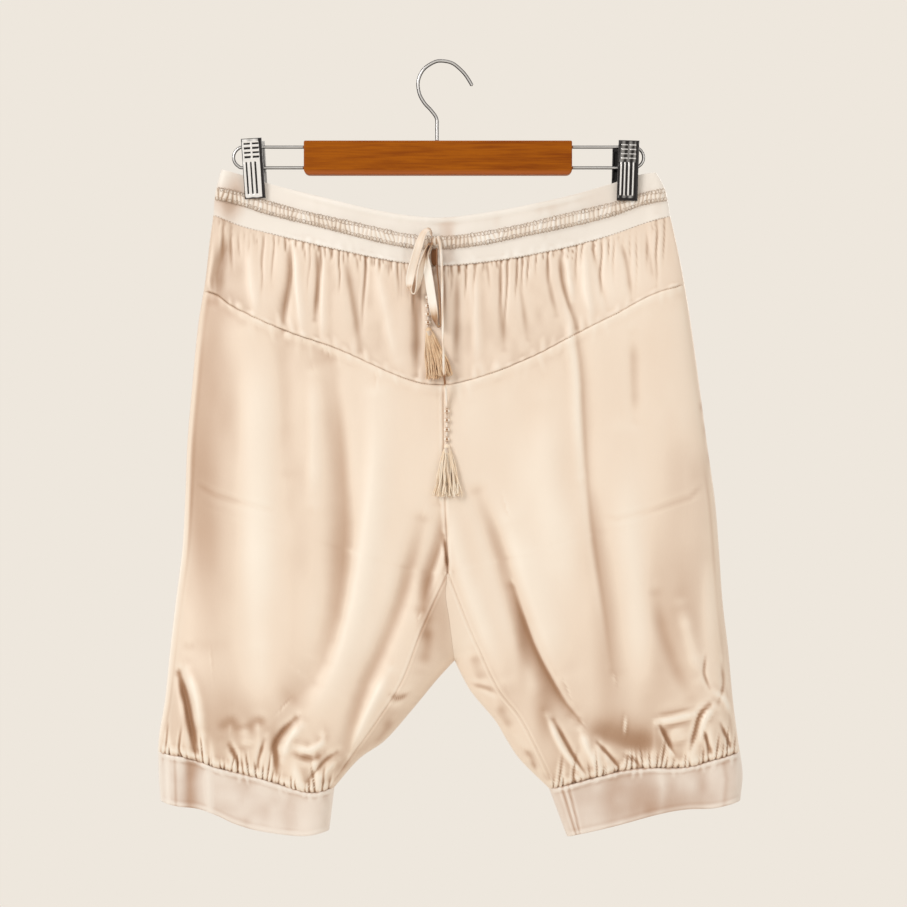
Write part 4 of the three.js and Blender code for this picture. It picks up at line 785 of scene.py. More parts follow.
def stand(face, x, z, relief_of, leg=None):
    """Signed distance of the cloth from the middle plane, and its tone from -1 to 1: painted shade in its
    creases and painted light on its ridges, the broad painted lights and shades, and a painted rim of light
    down the left leg.
    """
    plain, from_edge = plain_depth(x, z)
    room = smooth((plain - FLAT_DEPTH) / RELIEF_ROOM)
    relief = relief_of(face, x, z, leg) * room * smooth(from_edge / EDGE_FADE)
    strength = bpy.context.scene.pantaloon_sizes.crease_strength
    height = np.maximum(plain + strength * relief, 0.45 * plain)
    # The tone is painted shade in the creases and painted light on the ridges, with less of it for broad
    # creases.
    toned = relief
    if relief_of in (yoke_relief, leg_relief):
        toned = relief - BROAD_TONE * room * crease_relief(face, x, z, BROAD)
    # A painted rim of light down the edge of the left leg.
    rim = np.exp(-(((x - left_edge(z)) / RIM_WIDTH) ** 2)) * smooth((SIDE_SEAM_TOP - z) / 90)
    toned = toned + RIM_LIGHT * TONE_SPAN * rim
    tone = toned / TONE_SPAN + CAVITY_GAIN * cavity(relief) + shaded(face, x, z)
    return face * height, np.tanh(tone)


# ------------------------------------------------------------------ meshes
def new_object(name, mesh, material=None):
    made = bpy.data.objects.new(name, mesh)
    bpy.context.scene.collection.objects.link(made)
    if material is not None:
        mesh.materials.append(material)
    return made


def fill_mesh(name, points, faces, tone=None):
    """A smooth mesh from points in millimetres, with its tone and its flat places."""
    mesh = bpy.data.meshes.new(name)
    points = np.asarray(points, float) * MM
    mesh.from_pydata(points.tolist(), [], [list(face) for face in faces])
    mesh.polygons.foreach_set("use_smooth", [True] * len(mesh.polygons))
    if tone is not None:
        shade = mesh.attributes.new("tone", "FLOAT", "POINT")
        shade.data.foreach_set("value", np.asarray(tone, np.float32))
    corners = np.zeros(len(mesh.loops), np.int32)
    mesh.loops.foreach_get("vertex_index", corners)
    layer = mesh.uv_layers.new(name="cloth")
    layer.data.foreach_set("uv", points[corners][:, (0, 2)].astype(np.float32).ravel())
    mesh.validate()
    mesh.update()
    return mesh


def grid_faces(rows, columns, closed=False):
    """Faces between rows of points; in a closed grid the last column meets the first."""
    number = np.arange(rows * columns).reshape(rows, columns)
    if closed:
        number = np.hstack([number, number[:, :1]])
    corners = (number[:-1, :-1], number[1:, :-1], number[1:, 1:], number[:-1, 1:])
    return np.stack(corners, -1).reshape(-1, 4)


def flipped(faces):
    return np.roll(faces[:, ::-1], 1, axis=1)


def sheet_mesh(name, points, tone, closed):
    """A sheet from rows of points; a point that is not a number leaves its faces out."""
    quads = grid_faces(*points.shape[:2], closed)
    flat = points.reshape(-1, 3)
    quads = quads[~np.isnan(flat[quads]).any(axis=(1, 2))]
    used, quads = np.unique(quads, return_inverse=True)
    quads = quads.reshape(-1, 4)
    flat = flat[used]
    first, second, third = (flat[quads[:, k]] for k in range(3))
    facing = np.cross(second - first, third - first)[:, 1] * first[:, 1]
    if facing.sum() < 0:
        quads = quads[:, ::-1]
    return fill_mesh(name, flat, quads, tone.reshape(-1)[used])


def wall(obj, thickness):
    solid = obj.modifiers.new("wall", "SOLIDIFY")
    solid.thickness = thickness
    solid.offset = -1
    return obj


TUBE_TIP = 0.6  # how far a tube's end stands out, in half thicknesses


def tube(route, half_wide, half_thick, sides, turn=None):
    """A closed tube of oval section along a route in millimetres, with blunt tips."""
    route = np.asarray(route, float)
    along = np.gradient(route, axis=0)
    along /= np.linalg.norm(along, axis=1)[:, None]
    count = len(route)
    wide = np.broadcast_to(np.asarray(half_wide, float), count)
    thick = np.broadcast_to(np.asarray(half_thick, float), count)
    turn = np.zeros(count) if turn is None else np.asarray(turn, float)
    guide = np.array((0, -1, 0), float)
    rings = []
    angles = np.arange(sides) * 2 * math.pi / sides
    for i in range(count):
        guide = guide - along[i] * guide.dot(along[i])
        guide /= np.linalg.norm(guide)
        other = np.cross(along[i], guide)
        c, s = math.cos(turn[i]), math.sin(turn[i])
        flat, up = guide * c + other * s, other * c - guide * s
        ring = np.outer(np.cos(angles) * wide[i], flat) + np.outer(np.sin(angles) * thick[i], up)
        rings.append(route[i] + ring)
    tips = [
        route[0] - along[0] * thick[0] * TUBE_TIP,
        route[-1] + along[-1] * thick[-1] * TUBE_TIP,
    ]
    points = np.vstack([*rings, *tips])
    faces = flipped(grid_faces(count, sides, True)).tolist()
    first, last = list(range(sides))[::-1], list(range((count - 1) * sides, count * sides))
    for tip, ring in ((count * sides, first), (count * sides + 1, last)):
        faces += [[here, there, tip] for here, there in zip(ring, ring[1:] + ring[:1])]
    return points, faces


def joined(pieces):
    """Points and faces of several pieces as one."""
    points, faces, base = [], [], 0
    for piece_points, piece_faces in pieces:
        points.append(np.asarray(piece_points, float))
        faces.extend(tuple(base + k for k in face) for face in piece_faces)
        base += len(piece_points)
    return np.vstack(points), faces


def outwards(mesh, merge=0):
    """Turns every face of a closed mesh outwards, once points that meet are one."""
    work = bmesh.new()
    work.from_mesh(mesh)
    if merge:
        bmesh.ops.remove_doubles(work, verts=work.verts, dist=merge)
    bmesh.ops.recalc_face_normals(work, faces=work.faces)
    work.to_mesh(mesh)
    work.free()
    return mesh


Edge = namedtuple("Edge", "width segments angle harden")
BAR_EDGE = Edge(1.4, 4, 40, True)
PLATE_EDGE = Edge(0.35, 2, 60, False)


def eased(obj, edge):
    """Rounds the edges that are sharper than an angle."""
    soft = obj.modifiers.new("edges", "BEVEL")
    soft.width = edge.width * MM
    soft.segments = edge.segments
    soft.limit_method = "ANGLE"
    soft.angle_limit = math.radians(edge.angle)
    soft.harden_normals = edge.harden
    return obj


def declare(obj, nodes):
    """Every piece rides on the body and stands for its nodes."""
    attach(obj, "root")
    if nodes:
        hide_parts(*nodes)
    return obj


def closed_piece(name, shape, finish, nodes):
    """A closed piece from its points, faces and tones."""
    mesh = outwards(fill_mesh(name, *shape))
    return declare(new_object(name, mesh, material_of(finish)), nodes)


# ------------------------------------------------------------------ nodes
def add(tree, kind, values=None, **settings):
    """A node with its settings, and its inputs linked or set."""
    node = tree.nodes.new(kind)
    for name, value in settings.items():
        setattr(node, name, value)
    for socket, value in (values or {}).items():
        if isinstance(value, bpy.types.NodeSocket):
            tree.links.new(value, node.inputs[socket])
        else:
            node.inputs[socket].default_value = value
    return node


def linear(colour):
    return tuple(
        c / 12.92 if c <= 0.04045 else ((c + 0.055) / 1.055) ** 2.4 for c in colour
    ) + (1,)


def srgb(red, green, blue):
    return red / 255, green / 255, blue / 255


def new_material(name, **uniform):
    """A material and its shader, with what is the same all over set on the shader."""
    material = bpy.data.materials.new(name)
    material.use_nodes = True
    tree = material.node_tree
    shader = tree.nodes["Principled BSDF"]
    for socket, value in uniform.items():
        shader.inputs[socket.replace("_", " ")].default_value = value
    return material, tree, shader


def ramp(tree, factor, *stops):
    node = add(tree, "ShaderNodeValToRGB", {"Fac": factor})
    elements = node.color_ramp.elements
    while len(elements) < len(stops):
        elements.new(0.5)
    for element, (place, colour) in zip(elements, stops):
        element.position = place
        element.color = linear(colour)
    return node.outputs["Color"]


def noise(tree, scale, size=(1, 1, 1), detail=2, roughness=0.5):
    place = add(tree, "ShaderNodeTexCoord").outputs["Object"]
    place = add(tree, "ShaderNodeMapping", {"Vector": place, "Scale": size}).outputs["Vector"]
    values = {"Vector": place, "Scale": scale, "Detail": detail, "Roughness": roughness}
    return add(tree, "ShaderNodeTexNoise", values).outputs["Fac"]


def bump(tree, height, strength, distance, normal=None):
    values = {"Height": height, "Strength": strength, "Distance": distance}
    if normal is not None:
        values["Normal"] = normal
    return add(tree, "ShaderNodeBump", values).outputs["Normal"]


def spread(tree, value, low, high, first=0, last=1):
    """A value between first and last, moved to between low and high."""
    values = {"Value": value, "From Min": first, "From Max": last, "To Min": low, "To Max": high}
    return add(tree, "ShaderNodeMapRange", values).outputs["Result"]


def scaled(tree, first, second, operation="MULTIPLY"):
    return add(tree, "ShaderNodeMath", {0: first, 1: second}, operation=operation).outputs[0]


def blended(tree, factor, first, second):
    node = add(tree, "ShaderNodeMix", data_type="RGBA")
    for index, value in ((0, factor), (6, first), (7, second)):
        if isinstance(value, bpy.types.NodeSocket):
            tree.links.new(value, node.inputs[index])
        else:
            node.inputs[index].default_value = value
    return node.outputs[2]


def tone_of(tree):
    return add(tree, "ShaderNodeAttribute", attribute_name="tone").outputs["Fac"]


def dress(tree, shader, **values):
    for socket, value in values.items():
        tree.links.new(value, shader.inputs[socket.replace("_", " ")])


WRINKLES = 0.0004
WEAVE = 0.00012
PLY_DEPTH = 0.0003
GRAIN_DEPTH = 0.0004
SCRATCH_DEPTH = 0.0001
DEEPER = (0.8, 0.7, 0.6)  # the bottom of a sharp crease against its shade


def satin(name, light, middle, shade, wrinkles=0.5):
    """Satin: its tone follows the creases, as painted shade in them and painted light on the ridges, with
    faint unevenness, wrinkles and weave.
    """
    material, tree, shader = new_material(
        name, Sheen_Weight=0.22, Sheen_Roughness=0.45, Specular_IOR_Level=0.42
    )
    cloudy = spread(tree, noise(tree, 14, (1, 1, 0.4), 2), -0.08, 0.08)
    threads = spread(tree, noise(tree, 1, (1500, 900, 260), 1), -0.025, 0.025)
    value = scaled(tree, scaled(tree, tone_of(tree), cloudy, "ADD"), threads, "ADD")
    # Lit and shaded copies of the satin: the deep painted shade at the bottom of sharp creases, the painted
    # shade in the folds, the satin itself and the painted light on its ridges.
    deep = tuple(part * share for part, share in zip(shade, DEEPER))
    stops = (0, deep), (0.2, shade), (0.5, middle), (0.86, light)
    crumple = bump(tree, noise(tree, 70, (1, 1, 0.45), 3), wrinkles, WRINKLES)
    dress(
        tree,
        shader,
        Base_Color=ramp(tree, spread(tree, value, 0, 1, -1), *stops),
        Roughness=spread(tree, noise(tree, 40), 0.34, 0.52),
        Normal=bump(tree, noise(tree, 1, (2600, 2600, 420), 1), 0.35, WEAVE, crumple),
    )
    return material


def thread_material(name, light, shade, twist, patches=240):
    """Twisted thread: fine slanting plies, and colour that varies along the strand."""
    material, tree, shader = new_material(name, Sheen_Weight=0.3, Roughness=0.6)
    uneven = noise(tree, 1, (patches, patches, patches / 4), 3)
    plies = noise(tree, 1, (twist, twist, twist * 0.35), 2)
    colour = ramp(tree, uneven, (0.3, shade), (0.7, light))
    dress(tree, shader, Base_Color=colour, Normal=bump(tree, plies, 0.6, PLY_DEPTH))
    return material


def wood_material(name, light, dark, edge):
    """Varnished wood with straight grain along the bar, and a painted highlight along its lower edge."""
    material, tree, shader = new_material(
        name, Coat_Weight=0.03, Coat_Roughness=0.2, Specular_IOR_Level=0.12
    )
    broad = noise(tree, 1, (14, 120, 200), 5, 0.65)
    fine = noise(tree, 1, (26, 500, 1300), 2)
    grain = scaled(tree, scaled(tree, broad, 0.7), scaled(tree, fine, 0.3), "ADD")
    colour = ramp(tree, grain, (0.36, dark), (0.58, light))
    place = add(tree, "ShaderNodeTexCoord").outputs["Object"]
    height = add(tree, "ShaderNodeSeparateXYZ", {"Vector": place}).outputs["Z"]
    # A painted highlight along the bar's lower edge.
    low = spread(tree, height, 0, 1, (BAR.foot + 4.5) * MM, (BAR.foot + 1.8) * MM)
    dress(
        tree,
        shader,
        Base_Color=blended(tree, low, colour, linear(edge)),
        Roughness=spread(tree, grain, 0.5, 0.28),
        Normal=bump(tree, grain, 0.35, GRAIN_DEPTH),
    )
    return material


def metal_material(name, light, dark, roughness, scratches, metallic=1.0):
    """Plated metal with painted shade in its grooves and on its shaded sides, a painted white highlight on
    its faces, and fine drawn scratches.
    """
    material, tree, shader = new_material(name, Metallic=metallic)
    worn = spread(tree, noise(tree, 120, detail=3), -0.2, 0.2)
    factor = spread(tree, scaled(tree, tone_of(tree), worn, "ADD"), 0, 1, -1)
    lines = noise(tree, 1, (900, 900, 120), 2)
    dress(
        tree,
        shader,
        # The tone runs from painted shade through the metal's colour to a painted white highlight.
        Base_Color=ramp(tree, factor, (0.12, dark), (0.45, light), (0.9, srgb(250, 250, 250))),
        Roughness=spread(tree, noise(tree, 300), roughness, roughness + 0.16),
        Normal=bump(tree, lines, scratches, SCRATCH_DEPTH),
    )
    return material


def floor_material():
    material, tree, shader = new_material("pale studio floor", Roughness=0.9)
    stops = (0.3, srgb(232, 226, 217)), (0.7, srgb(238, 232, 223))
    dress(tree, shader, Base_Color=ramp(tree, noise(tree, 3), *stops))
    return material


MADE = {}


def material_of(name):
    """Each finish is made once, from the colours in the sidebar."""
    if name not in MADE:
        MADE[name] = MATERIALS[name](bpy.context.scene.pantaloon_colours)
    return MADE[name]


MATERIALS = {
    "leg satin": lambda c: satin("leg satin", c.satin_light, c.satin, c.satin_shade),
    "yoke satin": lambda c: satin("yoke satin", c.yoke_light, c.yoke, c.yoke_shade, 0.6),
    "cuff satin": lambda c: satin("cuff satin", c.cuff_light, c.cuff, c.cuff_shade, 0.4),
    "band satin": lambda c: satin("band satin", c.band_light, c.band, c.band_shade, 0.3),
    "ruched satin": lambda c: satin("ruched satin", c.band_light, c.ruched, c.ruched_shade, 0.4),
    "ribbon satin": lambda c: satin("ribbon satin", c.ribbon_light, c.ribbon, c.ribbon_shade, 0.2),
    "slit": lambda c: satin("slit lining", c.slit, c.slit, c.slit, 0.2),
    "seam thread": lambda c: thread_material("seam thread", c.stitch, c.stitch_shade, 2600, 420),
    "tan tassel": lambda c: thread_material("tan tassel", c.tassel, c.tassel_shade, 1500),
    "pale tassel": lambda c: thread_material("pale tassel", c.tassel_pale, c.tassel, 1500),
    "bead thread": lambda c: thread_material("bead thread", c.ribbon_light, c.ribbon_shade, 1200),
    "wood": lambda c: wood_material("varnished wood", c.wood, c.wood_dark, c.wood_edge_highlight),
    "plate": lambda c: metal_material("bright plate", c.metal, c.metal_dark, 0.14, 0.2, 0.3),
    "wire": lambda c: metal_material("drawn wire", c.wire, c.metal_dark, 0.24, 0.02),
}


def socket_named(tree, modifier, name, value):
    """Sets a modifier's input by its socket's identifier."""
    for item in tree.interface.items_tree:
        if item.item_type == "SOCKET" and item.in_out == "INPUT" and item.name == name:
            modifier[item.identifier] = value
            return
    raise RuntimeError(f"{tree.name} has no input named {name}")


def grown(name, base, tree, values):
    """A plain mesh from a node tree run on a base mesh."""
    obj = new_object(name, base)
    modifier = obj.modifiers.new("growth", "NODES")
    modifier.node_group = tree
    for key, value in values.items():
        socket_named(tree, modifier, key, value)
    bpy.context.view_layer.update()
    graph = bpy.context.evaluated_depsgraph_get()
    mesh = bpy.data.meshes.new_from_object(obj.evaluated_get(graph))
    obj.modifiers.clear()
    obj.data = mesh
    mesh.name = name
    if not len(mesh.polygons):
        raise RuntimeError(f"{name} came out empty")
    mesh.polygons.foreach_set("use_smooth", [True] * len(mesh.polygons))
    return obj


def new_tree(name, *inputs):
    """A node tree with named inputs, its input node and its output node."""
    tree = bpy.data.node_groups.new(name, "GeometryNodeTree")
    tree.interface.new_socket("Geometry", in_out="INPUT", socket_type="NodeSocketGeometry")
    for label, kind, default in inputs:
        socket = tree.interface.new_socket(label, in_out="INPUT", socket_type=f"NodeSocket{kind}")
        if default is not None:
            socket.default_value = default
    tree.interface.new_socket("Geometry", in_out="OUTPUT", socket_type="NodeSocketGeometry")
    source = add(tree, "NodeGroupInput")
    return tree, source.outputs, add(tree, "NodeGroupOutput")


def finish_tree(tree, geometry, material, output):
    solid = result(tree, "GeometryNodeRealizeInstances", {"Geometry": geometry})
    dressed = result(tree, "GeometryNodeSetMaterial", {"Geometry": solid, "Material": material})
    tree.links.new(dressed, output.inputs[0])
    return tree


def result(tree, kind, values=None, **settings):
    """The first output of a new node."""
    return add(tree, kind, values, **settings).outputs[0]


def vector_of(tree, **parts):
    return result(tree, "ShaderNodeCombineXYZ", parts)


def circle_of(tree, resolution, radius):
    values = {"Resolution": resolution, "Radius": radius}
    return result(tree, "GeometryNodeCurvePrimitiveCircle", values)


def swept(tree, curve, section, caps=False):
    values = {"Curve": curve, "Profile Curve": section, "Fill Caps": caps}
    return result(tree, "GeometryNodeCurveToMesh", values)


def placed(tree, points, shape, **values):
    values = {"Points": points, "Instance": shape, **values}
    return result(tree, "GeometryNodeInstanceOnPoints", values)


def along_line(tree, given, shape, size=(1, 1, 1)):
    """A shape repeated along a line of edges, its length along the line."""
    line = result(tree, "GeometryNodeMeshToCurve", {"Mesh": given["Geometry"]})
    values = {"Curve": line, "Length": given["Pitch"]}
    points = add(tree, "GeometryNodeCurveToPoints", values, mode="LENGTH").outputs
    values = {"Vector": points["Tangent"]}
    facing = result(tree, "FunctionNodeAlignRotationToVector", values, axis="X")
    return placed(tree, points["Points"], shape, Rotation=facing, Scale=size)


def leaning(tree, rows, angle):
    values = {"Instances": rows, "Rotation": vector_of(tree, Y=angle)}
    return result(tree, "GeometryNodeRotateInstances", values)


def stitch_tree():
    """Stitches along a line of edges, turned to one side and the other by turns."""
    tree, given, output = new_tree(
        "stitches",
        ("Pitch", "Float", 0.003),
        ("Length", "Float", 0.002),
        ("Thread", "Float", 0.0006),
        ("Slant", "Float", 0.0),
        ("Material", "Material", None),
    )
    size = vector_of(tree, X=given["Length"], Y=given["Thread"], Z=given["Thread"])
    drop = result(tree, "GeometryNodeMeshUVSphere", {"Segments": 5, "Rings": 4, "Radius": 0.5})
    stitch = result(tree, "GeometryNodeTransform", {"Geometry": drop, "Scale": size})
    rows = along_line(tree, given, stitch)
    odd = scaled(tree, result(tree, "GeometryNodeInputIndex"), 2, "MODULO")
    sign = scaled(tree, scaled(tree, odd, 2), 1, "SUBTRACT")
    rows = leaning(tree, rows, scaled(tree, sign, given["Slant"]))
    return finish_tree(tree, rows, given["Material"], output)


def chance(tree, low, high, seed, offset=0):
    values = {2: low, 3: high, "Seed": scaled(tree, seed, offset, "ADD") if offset else seed}
    return add(tree, "FunctionNodeRandomValue", values, data_type="FLOAT").outputs[1]


def overlock_tree():
    """Loops of overlock thread along a line of edges, no two of them quite alike."""
    tree, given, output = new_tree(
        "overlock",
        ("Pitch", "Float", 0.003),
        ("Length", "Float", 0.003),
        ("Tall", "Float", 0.002),
        ("Thread", "Float", 0.0004),
        ("Slant", "Float", 0.5),
        ("Seed", "Int", 1),
        ("Material", "Material", None),
    )
    size = vector_of(tree, X=given["Length"], Y=given["Tall"], Z=1)
    values = {"Geometry": circle_of(tree, 10, 0.5), "Scale": size, "Rotation": (math.pi / 2, 0, 0)}
    oval = result(tree, "GeometryNodeTransform", values)
    ring = swept(tree, oval, circle_of(tree, 4, scaled(tree, given["Thread"], 0.5)))
    wide = chance(tree, 0.6, 1.15, given["Seed"])
    tall = chance(tree, 0.7, 1.2, given["Seed"], 9)
    rows = along_line(tree, given, ring, vector_of(tree, X=wide, Y=1, Z=tall))
    angle = chance(tree, scaled(tree, given["Slant"], -1), given["Slant"], given["Seed"], 4)
    return finish_tree(tree, leaning(tree, rows, angle), given["Material"], output)


STRAND_POINTS = 14
STRAND_OPENING = 0.75  # how soon the strands spread, as a power
STRAND_WAVES = 9


def strand_tree():
    """Loose strands that hang from a point and spread to an oval foot."""
    tree, given, output = new_tree(
        "strands",
        ("Strands", "Int", 90),
        ("Length", "Float", 0.043),
        ("Root", "Float", 0.002),
        ("Spread", "Float", 0.013),
        ("Depth", "Float", 0.0035),
        ("Thread", "Float", 0.0003),
        ("Wave", "Float", 0.001),
        ("Seed", "Int", 1),
        ("Material", "Material", None),
    )
    seed = given["Seed"]
    cloud = result(tree, "GeometryNodePoints", {"Count": given["Strands"]})
    angle = chance(tree, 0, 2 * math.pi, seed)
    reach = scaled(tree, chance(tree, 0.02, 1, seed, 10), 0.5, "POWER")
    kept = {
        "across": scaled(tree, reach, scaled(tree, angle, 0, "COSINE")),
        "through": scaled(tree, reach, scaled(tree, angle, 0, "SINE")),
        "long": chance(tree, 0.9, 1.0, seed, 20),
        "shift": chance(tree, 0, 9, seed, 30),
    }
    for name, value in kept.items():
        values = {"Geometry": cloud, "Name": name, "Value": value}
        cloud = result(tree, "GeometryNodeStoreNamedAttribute", values, data_type="FLOAT")
    straight = result(tree, "GeometryNodeCurvePrimitiveLine", {"End": (0, 0, -1)})
    line = result(tree, "GeometryNodeResampleCurve", {"Curve": straight, "Count": STRAND_POINTS})
    strands = result(tree, "GeometryNodeRealizeInstances", {"Geometry": placed(tree, cloud, line)})
    read = {
        name: result(tree, "GeometryNodeInputNamedAttribute", {"Name": name}, data_type="FLOAT")
        for name in kept
    }
    place = result(tree, "GeometryNodeInputPosition")
    down = scaled(tree, add(tree, "ShaderNodeSeparateXYZ", {0: place}).outputs[2], -1)
    opening = scaled(tree, down, STRAND_OPENING, "POWER")
    phase = scaled(tree, scaled(tree, down, STRAND_WAVES), read["shift"], "ADD")
    sway = scaled(tree, scaled(tree, scaled(tree, phase, 0, "SINE"), given["Wave"]), down)

    def fanned(direction, foot):
        wider = scaled(tree, scaled(tree, foot, given["Root"], "SUBTRACT"), opening)
        out = scaled(tree, direction, scaled(tree, given["Root"], wider, "ADD"))
        return scaled(tree, out, sway, "ADD")

    long = scaled(tree, scaled(tree, down, given["Length"]), read["long"])
    new_place = vector_of(
        tree,
        X=fanned(read["across"], given["Spread"]),
        Y=fanned(read["through"], given["Depth"]),
        Z=scaled(tree, long, -1),
    )
    bent = result(tree, "GeometryNodeSetPosition", {"Geometry": strands, "Position": new_place})
    solid = swept(tree, bent, circle_of(tree, 5, given["Thread"]), True)
    return finish_tree(tree, solid, given["Material"], output)


def ring_tree():
    """Turns of thread, one under the other."""
    tree, given, output = new_tree(
        "turns of thread",
        ("Turns", "Int", 5),
        ("Radius", "Float", 0.002),
        ("Thread", "Float", 0.0004),
        ("Pitch", "Float", 0.0007),
        ("Material", "Material", None),
    )
    step = vector_of(tree, Z=scaled(tree, given["Pitch"], -1))
    turns = result(tree, "GeometryNodeMeshLine", {"Count": given["Turns"], "Offset": step})
    ring = swept(tree, circle_of(tree, 16, given["Radius"]), circle_of(tree, 6, given["Thread"]))
    return finish_tree(tree, placed(tree, turns, ring), given["Material"], output)


TREES = {}


def tree_of(make):
    if make.__name__ not in TREES:
        TREES[make.__name__] = make()
    return TREES[make.__name__]


# ------------------------------------------------------------------ stage
View = namedtuple("View", "x y z lens")
CAMERA = View(10, -2400, -340, 109.5)
FLOOR_Z = -1.1
FLOOR_HALF = 1.2
BACKDROP = srgb(238, 231, 221)
ROOM_LIGHT = 0.69
Lamp = namedtuple("Lamp", "name place target size watts colour")
LAMPS = (
    Lamp("window", (-1.7, -2.0, 0.9), (0, 0, -0.35), 1.1, 33, (1, 0.98, 0.95)),
    Lamp("fill", (2.2, -2.2, -0.1), (0, 0, -0.4), 1.6, 11, (1, 0.97, 0.94)),
    Lamp("top", (0.2, 0.1, 1.9), (0, 0, -0.3), 1.2, 12, (1, 0.98, 0.95)),
    Lamp("back left", (1.9, 2.2, 0.7), (0, 0, -0.35), 1.2, 26, (1, 0.97, 0.93)),
    Lamp("back right", (-2.2, 2.0, 0.0), (0, 0, -0.4), 1.5, 10, (1, 0.95, 0.9)),
)


def make_stage():
    scene = bpy.context.scene
    scene.view_settings.view_transform = "Standard"
    camera = bpy.data.cameras.new("camera")
    camera.lens = CAMERA.lens
    camera.sensor_width = 36
    camera.clip_end = 50
    holder = bpy.data.objects.new("camera", camera)
    holder.location = Vector((CAMERA.x, CAMERA.y, CAMERA.z)) * MM
    holder.rotation_euler = (math.pi / 2, 0, 0)
    scene.collection.objects.link(holder)
    scene.camera = holder

    world = bpy.data.worlds.new("cream room")
    scene.world = world
    world.use_nodes = True
    tree = world.node_tree
    background = tree.nodes["Background"]
    background.inputs["Color"].default_value = linear(BACKDROP)
    seen = add(tree, "ShaderNodeLightPath").outputs["Is Camera Ray"]
    tree.links.new(spread(tree, seen, ROOM_LIGHT, 1), background.inputs["Strength"])

    for lamp in LAMPS:
        light = bpy.data.lights.new(lamp.name, "AREA")
        light.size = lamp.size
        light.energy = lamp.watts
        light.color = lamp.colour
        lit = bpy.data.objects.new(lamp.name, light)
        lit.location = lamp.place
        aim = Vector(lamp.target) - Vector(lamp.place)
        lit.rotation_euler = aim.to_track_quat("-Z", "Y").to_euler()
        lit.visible_camera = False
        scene.collection.objects.link(lit)

    half = FLOOR_HALF / MM
    corners = [(x * half, y * half, FLOOR_Z / MM) for x, y in ((-1, -1), (1, -1), (1, 1), (-1, 1))]
    floor = new_object(
        "studio_floor", fill_mesh("studio_floor", corners, [(0, 1, 2, 3)]), floor_material()
    )


# ------------------------------------------------------------------ drawstring ends
CORD_WIDTH = 4
CORD_THICKNESS = 2
CORD_LEFT = (
    (-9.8, -13.2, -161.6), (-10.3, -13.3, -164), (-10.8, -13.4, -167), (-11.4, -13.8, -170),
    (-11.8, -14.2, -173.5), (-12.1, -14.7, -177), (-12.2, -15.2, -180), (-12.2, -15.6, -183),
    (-12.2, -16.1, -186.5), (-12.2, -16.6, -190), (-12.1, -17.1, -193), (-12.1, -17.6, -195.5),
    (-12, -18.1, -198), (-12, -18.3, -200.2), (-12, -18.3, -202.4),
)
CORD_RIGHT = (
    (-3.2, -19.4, -153.5), (-2.4, -20.8, -156.5), (-1.6, -22.2, -160), (-0.9, -23.6, -166),
    (-0.4, -24.8, -172), (0, -25.9, -181), (0.2, -26.8, -190), (0.3, -27.5, -200),
    (0.4, -28.2, -210), (0.6, -28.8, -221), (0.8, -29.4, -232), (1, -29.8, -244),
    (1.3, -30, -255), (1.6, -30.1, -263), (1.9, -30, -271), (2.5, -28.6, -278),
    (3.2, -26.6, -284), (3.7, -24.4, -289.5), (4.2, -22.4, -295), (4.3, -22, -300.4),
)
Drop = namedtuple("Drop", "name cord length x y beads head_y swing tassel")
DROPS = (
    Drop("left", CORD_LEFT, 0.041, -12, -18.3, (-205.2, -212.4, -219.6, -226.8), -19.8, 0.22, "tan tassel"),
    Drop("right", CORD_RIGHT, 0.150, 4.3, -22, (-303.4, -311.2, -319.4, -327.6), -23, 0, "pale tassel"),
)
BEAD_RADIUS = 2.1
BEAD_RINGS = 14
BEAD_SIDES = 28
THREAD_RADIUS = 0.6
THREAD_STEPS = 60
THREAD_SIDES = 8
TASSEL_DROP = 4.2
TASSEL_LENGTH = 46
TASSEL_SPREAD = 26
TASSEL_DEPTH = 7
TASSEL_NECK = 3
Ball = namedtuple("Ball", "radius flutes depth squash drilled")
BEAD = Ball(BEAD_RADIUS * 1.16, 14, 0.045, 0.86, 0.42)  # wider than it is tall
HEAD = Ball(2.7, 18, 0.05, 0.95, 0.25)
HEAD_DROP = 2.6
Neck = namedtuple("Neck", "turns radius thread pitch drop")
NECK = Neck(6, 2.3, 0.42, 0.75, 3.6)
STRAND_THREAD = 0.5
STRAND_ROOT = 2
STRAND_WAVE = 0.9
STRAND_SEED = {"left": 3, "right": 8}
TASSEL_LEAN = 0.075
CORD_STEPS = 90
CORD_SIDES = 16
FLARE = 0.4  # the ribbon is not yet folded narrow where it leaves the knot
FLARE_SHARE = 0.17
CORD_TUCK_Z = -277  # where the longer end turns from its edge to its flat side, under painted shade


def make_drawstring_end(drop):
    shares = np.linspace(0, 1, CORD_STEPS)
    route = through(drop.cord)(shares)
    twist = 0.25 * np.sin(shares * 9) * smooth(shares * 4) * smooth((1 - shares) * 4)
    uneven = 1 + 0.05 * np.sin(shares * 31 + drop.x)
    uneven += FLARE * (1 - smooth(shares / FLARE_SHARE))
    wide, thick = CORD_WIDTH / 2 * uneven, CORD_THICKNESS / 2 * uneven
    points, faces = tube(route, wide, thick, CORD_SIDES, turn=twist)
    tone = 0.35 + 0.35 * np.sin(np.arange(len(points)) * 0.37)
    # Painted shade where the longer end turns from its edge to its flat side.
    tone -= 4 * np.exp(-(((points[:, 2] - CORD_TUCK_Z) / 3) ** 2))
    name, nodes = f"drawstring_{drop.name}_ribbon", [f"drawstring_end_{drop.name}"]
    return closed_piece(name, (points, faces, tone), "ribbon satin", nodes)


